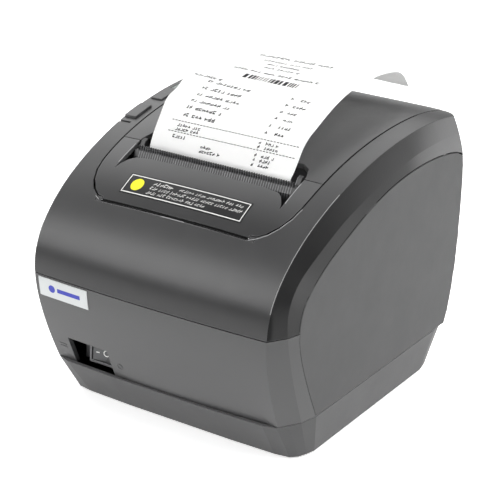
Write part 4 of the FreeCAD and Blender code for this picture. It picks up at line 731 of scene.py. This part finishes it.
# painted shade: near-black strips laid in the seams, standing in for the shade in the gaps
shadow_strip_mat = moulded("painted_gap_shade_look", (0.006, 0.006, 0.006), rough=0.7, grain=0.1, wear_and_highlight=0.0, vary=0.2, spec=0.1)
SIDE_PTS = [(45.1, 22.1), (48.4, 24.4), (52.0, 28.8), (54.6, 34.6), (55.8, 41.0), (56.3, 49.0), (56.7, 62.0), (57.0, 76.0), (57.2, 90.0), (57.6, 110.0), (58.0, 130.0), (58.2, 150.0)]
shade_polys = []
for sign in (1, -1):
    prev = None
    for i, (x, y) in enumerate(SIDE_PTS):
        a, b = SIDE_PTS[max(0, i - 1)], SIDE_PTS[min(len(SIDE_PTS) - 1, i + 1)]
        t = Vector((b[0] - a[0], b[1] - a[1])).normalized()
        cur = ((sign * (x + t.y * 0.27), y - t.x * 0.27), (sign * (x + t.y * 0.58), y - t.x * 0.58))
        if prev and prev[0][1] > 22.5:
            n = max(1, int((y - SIDE_PTS[i - 1][1]) / 4.0))
            for j in range(n):
                f, g = j / n, (j + 1) / n
                m = lambda p, q, w: (p[0] + (q[0] - p[0]) * w, p[1] + (q[1] - p[1]) * w)
                q4 = [m(prev[0], cur[0], f), m(prev[1], cur[1], f), m(prev[1], cur[1], g), m(prev[0], cur[0], g)]
                shade_polys.append(q4 if sign > 0 else q4[::-1])
        prev = cur
tc = Caster("top_cover", row(0, 0, 170), *down)
drape("seam_painted_highlight", tc, seam_painted_highlight, highlight_look_mat, "base", 0.04, 0.05)
drape("seam_shade", tc, shade_polys, shadow_strip_mat, "base", 0.02, 0.05)

# painted highlight along the crest line between the crown and the chamfer strip, found by feeling across the edge
slope = Vector((0, 1, -1)).normalized()
cr = Caster("top_cover", row(0, 0, 100) - slope * 0.1, Vector((1, 0, 0)), Vector((0, 1, 1)).normalized(), slope)
crest = []
for i in range(46):
    t = -9.0 + i * 1.5
    x = 58.0
    while x < 72.0:
        hit, nrm = cr.at(x, t)
        if hit is None or nrm.x > 0.35:
            break
        x += 0.05
    crest.append((x, t))
line = []
for sign in (1, -1):
    for (a, t0), (b, t1) in zip(crest, crest[1:]):
        if abs(a - b) < 0.8:
            q = [(sign * (a - 0.42), t0), (sign * (a - 0.08), t0), (sign * (b - 0.08), t1), (sign * (b - 0.42), t1)]
            line.append(q if sign > 0 else q[::-1])
drape("crest_painted_highlight", cr, line, highlight_look_mat, "base", 0.04, 0.05)

# painted shade: dark strip along the parting line round the side panels
PART_LINE = [(46.3, 9.0), (39.5, 21.9), (31.6, 35.9), (23.6, 51.9), (19.2, 62.9), (17.5, 74.8), (20.3, 84.6), (29.8, 93.4), (42.0, 100.6),
             (58.0, 107.6), (72.0, 113.1), (93.5, 119.4), (116.2, 123.0), (140.7, 124.0), (163.5, 122.4), (182.2, 118.6)]


def fine_curve(pts, n):
    """Points of a smooth curve that passes through every point of pts."""
    P = [Vector(p) for p in pts]
    out = []
    for i in range(len(P) - 1):
        a, b = P[max(0, i - 1)], P[min(len(P) - 1, i + 2)]
        h = (P[i + 1] - P[i]).length
        m0 = (P[i + 1] - a).normalized() * h
        m1 = (b - P[i]).normalized() * h
        for j in range(n):
            u = j / n
            out.append((2 * u ** 3 - 3 * u ** 2 + 1) * P[i] + (u ** 3 - 2 * u ** 2 + u) * m0 + (-2 * u ** 3 + 3 * u ** 2) * P[i + 1] + (u ** 3 - u ** 2) * m1)
    return out + [P[-1]]


pl_line = [p for p in fine_curve(PART_LINE, 10) if 24.0 < p.y and p.x < 176.0]
for node, sign in (("right", 1), ("left", -1)):
    sc = Caster("top_cover", row(sign * 110, 0, 0), Vector((0, 1, 0)), Vector((0, 0, 1)), Vector((-sign, 0, 0)))
    polys = []
    for i in range(len(pl_line) - 1):
        p, q = pl_line[i], pl_line[i + 1]
        d0 = (pl_line[min(i + 1, len(pl_line) - 1)] - pl_line[max(0, i - 1)]).normalized()
        d1 = (pl_line[min(i + 2, len(pl_line) - 1)] - p).normalized()
        n0, n1 = Vector((-d0.y, d0.x)), Vector((-d1.y, d1.x))
        polys.append([tuple(p + n0 * 0.20), tuple(q + n1 * 0.20), tuple(q + n1 * 0.55), tuple(p + n0 * 0.55)])
    drape(node + "_parting_shade", sc, polys, shadow_strip_mat, "base", 0.008, 0.06)

# ------------------------------------------------------------------ plain mark on the nameplate
plate = Caster("nameplate", row(0, -20, 0), Vector((1, 0, 0)), Vector((0, 0, 1)), Vector((0, 1, 0)))
marks = disc(-55.0, 66.5, 2.0) + [rect(-51.6 + i * 2.0, 65.4, -49.6 + i * 2.0, 67.6) for i in range(7)]
drape("plate_mark", plate, marks, mat["blue"], "base", 0.035, 0.05)

# ------------------------------------------------------------------ marks on the rocker
rk = Caster("power_rocker", row(0, -20, 0), Vector((1, 0, 0)), Vector((0, 0, 1)), Vector((0, 1, 0)))
drape("rocker_marks", rk, strips(-44.2, 29.6, -40.7, 30.15) + ring(-36.9, 30.0, 1.75, 0.45), mat["white_ink"], "rocker_body", 0.04, 0.05)

# ------------------------------------------------------------------ low raised marks beside the switch
fc = Caster("front_cover", row(0, -20, 0), Vector((1, 0, 0)), Vector((0, 0, 1)), Vector((0, 1, 0)))
raised = strips(-59.6, 32.6, -55.2, 33.2) + strips(-59.6, 31.0, -55.2, 31.6) + ring(-22.0, 30.8, 1.7, 0.5)
drape("raised_marks", fc, raised, mat["front"], "base", 0.16, 0.05)

# ------------------------------------------------------------------ leaf spring under the release button, a welded copy that replaces the CAD spring
src = NODES["release_spring"]
sm = bmesh.new()
sm.from_mesh(src.data)
sm.transform(src.matrix_world)
bmesh.ops.remove_doubles(sm, verts=sm.verts, dist=1e-6)
sv = [v.co.copy() for v in sm.verts]
sm.verts.index_update()
sf = [tuple(v.index for v in f.verts) for f in sm.faces]
sm.free()
leaf = make("leaf_spring", sv, sf, mat["steel"], "base")
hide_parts("release_spring")
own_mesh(leaf)

# ------------------------------------------------------------------ floor, light and camera
ROOM = 0.12
LOBES = [((-0.52, -0.68, 0.52), 26, 8, 4.0),      # box on the left front
         ((-0.80, 0.32, 0.52), 30, 8, 1.9),       # box on the left
         ((-0.42, 0.70, 0.58), 24, 10, 1.5),      # box behind
         ((0.50, 0.10, 0.86), 36, 10, 5.1)]       # overhead box, to the right
def plane(name, size, loc, material):
    me = bpy.data.meshes.new(name)
    s = size / 2
    me.from_pydata([(-s, -s, 0), (s, -s, 0), (s, s, 0), (-s, s, 0)], [], [(0, 1, 2, 3)])
    me.materials.append(material)
    o = bpy.data.objects.new(name, me)
    o.location = loc
    bpy.context.scene.collection.objects.link(o)
    return o


k = Mat("floor_look")
fn = k.noise(6.0, 3.0)
fp = k.sep(k.obj)
far = k.math("SQRT", k.math("ADD", k.math("POWER", k.math("ADD", fp[0], 0.3), 2.0), k.math("POWER", k.math("SUBTRACT", fp[1], 0.5), 2.0)))
fc_ = k.scale((0.93, 0.93, 0.93), k.math("ADD", 0.99, k.math("MULTIPLY", fn, 0.02)))
floor_mat = k.set(Base_Color=fc_, Roughness=k.math("ADD", 0.55, k.math("MULTIPLY", fn, 0.05)), Emission_Color=(1, 1, 1), Emission_Strength=k.ramp(far, 0.85, 1.25, 0.66, 0.0), Specular_IOR_Level=0.2)
plane("floor", 12.0, (0, 0, 0), floor_mat)

world = bpy.data.worlds.new("studio")
bpy.context.scene.world = world
world.use_nodes = True
wt = world.node_tree
wt.nodes.clear()
wo = wt.nodes.new("ShaderNodeOutputWorld")
bg = wt.nodes.new("ShaderNodeBackground")
wt.links.new(bg.outputs[0], wo.inputs[0])
wc = wt.nodes.new("ShaderNodeTexCoord")


def lobe(direction, outer, inner, strength):
    """A soft round light in the sky: full inside the inner angle, gone outside the outer one (degrees)."""
    d = wt.nodes.new("ShaderNodeVectorMath")
    d.operation = "DOT_PRODUCT"
    wt.links.new(wc.outputs["Generated"], d.inputs[0])
    d.inputs[1].default_value = Vector(direction).normalized()
    r = wt.nodes.new("ShaderNodeMapRange")
    r.interpolation_type = "SMOOTHSTEP"
    wt.links.new(d.outputs["Value"], r.inputs["Value"])
    r.inputs["From Min"].default_value = math.cos(math.radians(outer))
    r.inputs["From Max"].default_value = math.cos(math.radians(inner))
    r.inputs["To Min"].default_value = 0.0
    r.inputs["To Max"].default_value = strength
    return r.outputs[0]


total = None
for args in LOBES:
    v = lobe(*args)
    if total is None:
        total = v
    else:
        a = wt.nodes.new("ShaderNodeMath")
        a.operation = "ADD"
        wt.links.new(total, a.inputs[0])
        wt.links.new(v, a.inputs[1])
        total = a.outputs[0]
a = wt.nodes.new("ShaderNodeMath")
a.operation = "ADD"
wt.links.new(total, a.inputs[0])
a.inputs[1].default_value = ROOM
wt.links.new(a.outputs[0], bg.inputs[1])
bg.inputs[0].default_value = (1, 1, 1, 1)


def area(name, loc, target, size, power, size_y=None):
    ld = bpy.data.lights.new(name, "AREA")
    ld.energy = power
    ld.shape = "RECTANGLE"
    ld.size = size
    ld.size_y = size_y or size
    o = bpy.data.objects.new(name, ld)
    o.location = loc
    o.rotation_mode = "QUATERNION"
    o.rotation_quaternion = (Vector(target) - Vector(loc)).to_track_quat("-Z", "Y")
    bpy.context.scene.collection.objects.link(o)
    return o


area("right_fill", (1.5, 0.0, 0.9), (0, 0, 0.08), 1.2, 1.5)

cam = bpy.data.cameras.new("camera")
co = bpy.data.objects.new("camera", cam)
bpy.context.scene.collection.objects.link(co)
az, el, roll = (math.radians(a) for a in (31.071336, 21.084213, 3.116916))
c = Vector((math.sin(az) * math.cos(el), -math.cos(az) * math.cos(el), math.sin(el)))
fwd = -c
right = fwd.cross(Vector((0, 0, 1))).normalized()
up = right.cross(fwd)
cx_ = right * math.cos(roll) + up * math.sin(roll)
cy_ = -right * math.sin(roll) + up * math.cos(roll)
M = Matrix((cx_, cy_, c)).transposed().to_4x4()
M.translation = row(374.7234, -536.1033, 352.5009)
co.matrix_world = M
cam.sensor_width = 36.0
cam.lens = 36.0 * 1540.496 / 500.0
cam.shift_x = (250.0 - 244.114) / 500.0
cam.shift_y = (254.131 - 250.0) / 500.0
cam.clip_start, cam.clip_end = 0.02, 60.0
bpy.context.scene.camera = co
bpy.context.scene.view_settings.view_transform = "Standard"
bpy.context.scene.view_settings.look = "None"
bpy.context.scene.view_settings.exposure = 0.0
bpy.context.scene.view_settings.gamma = 1.0
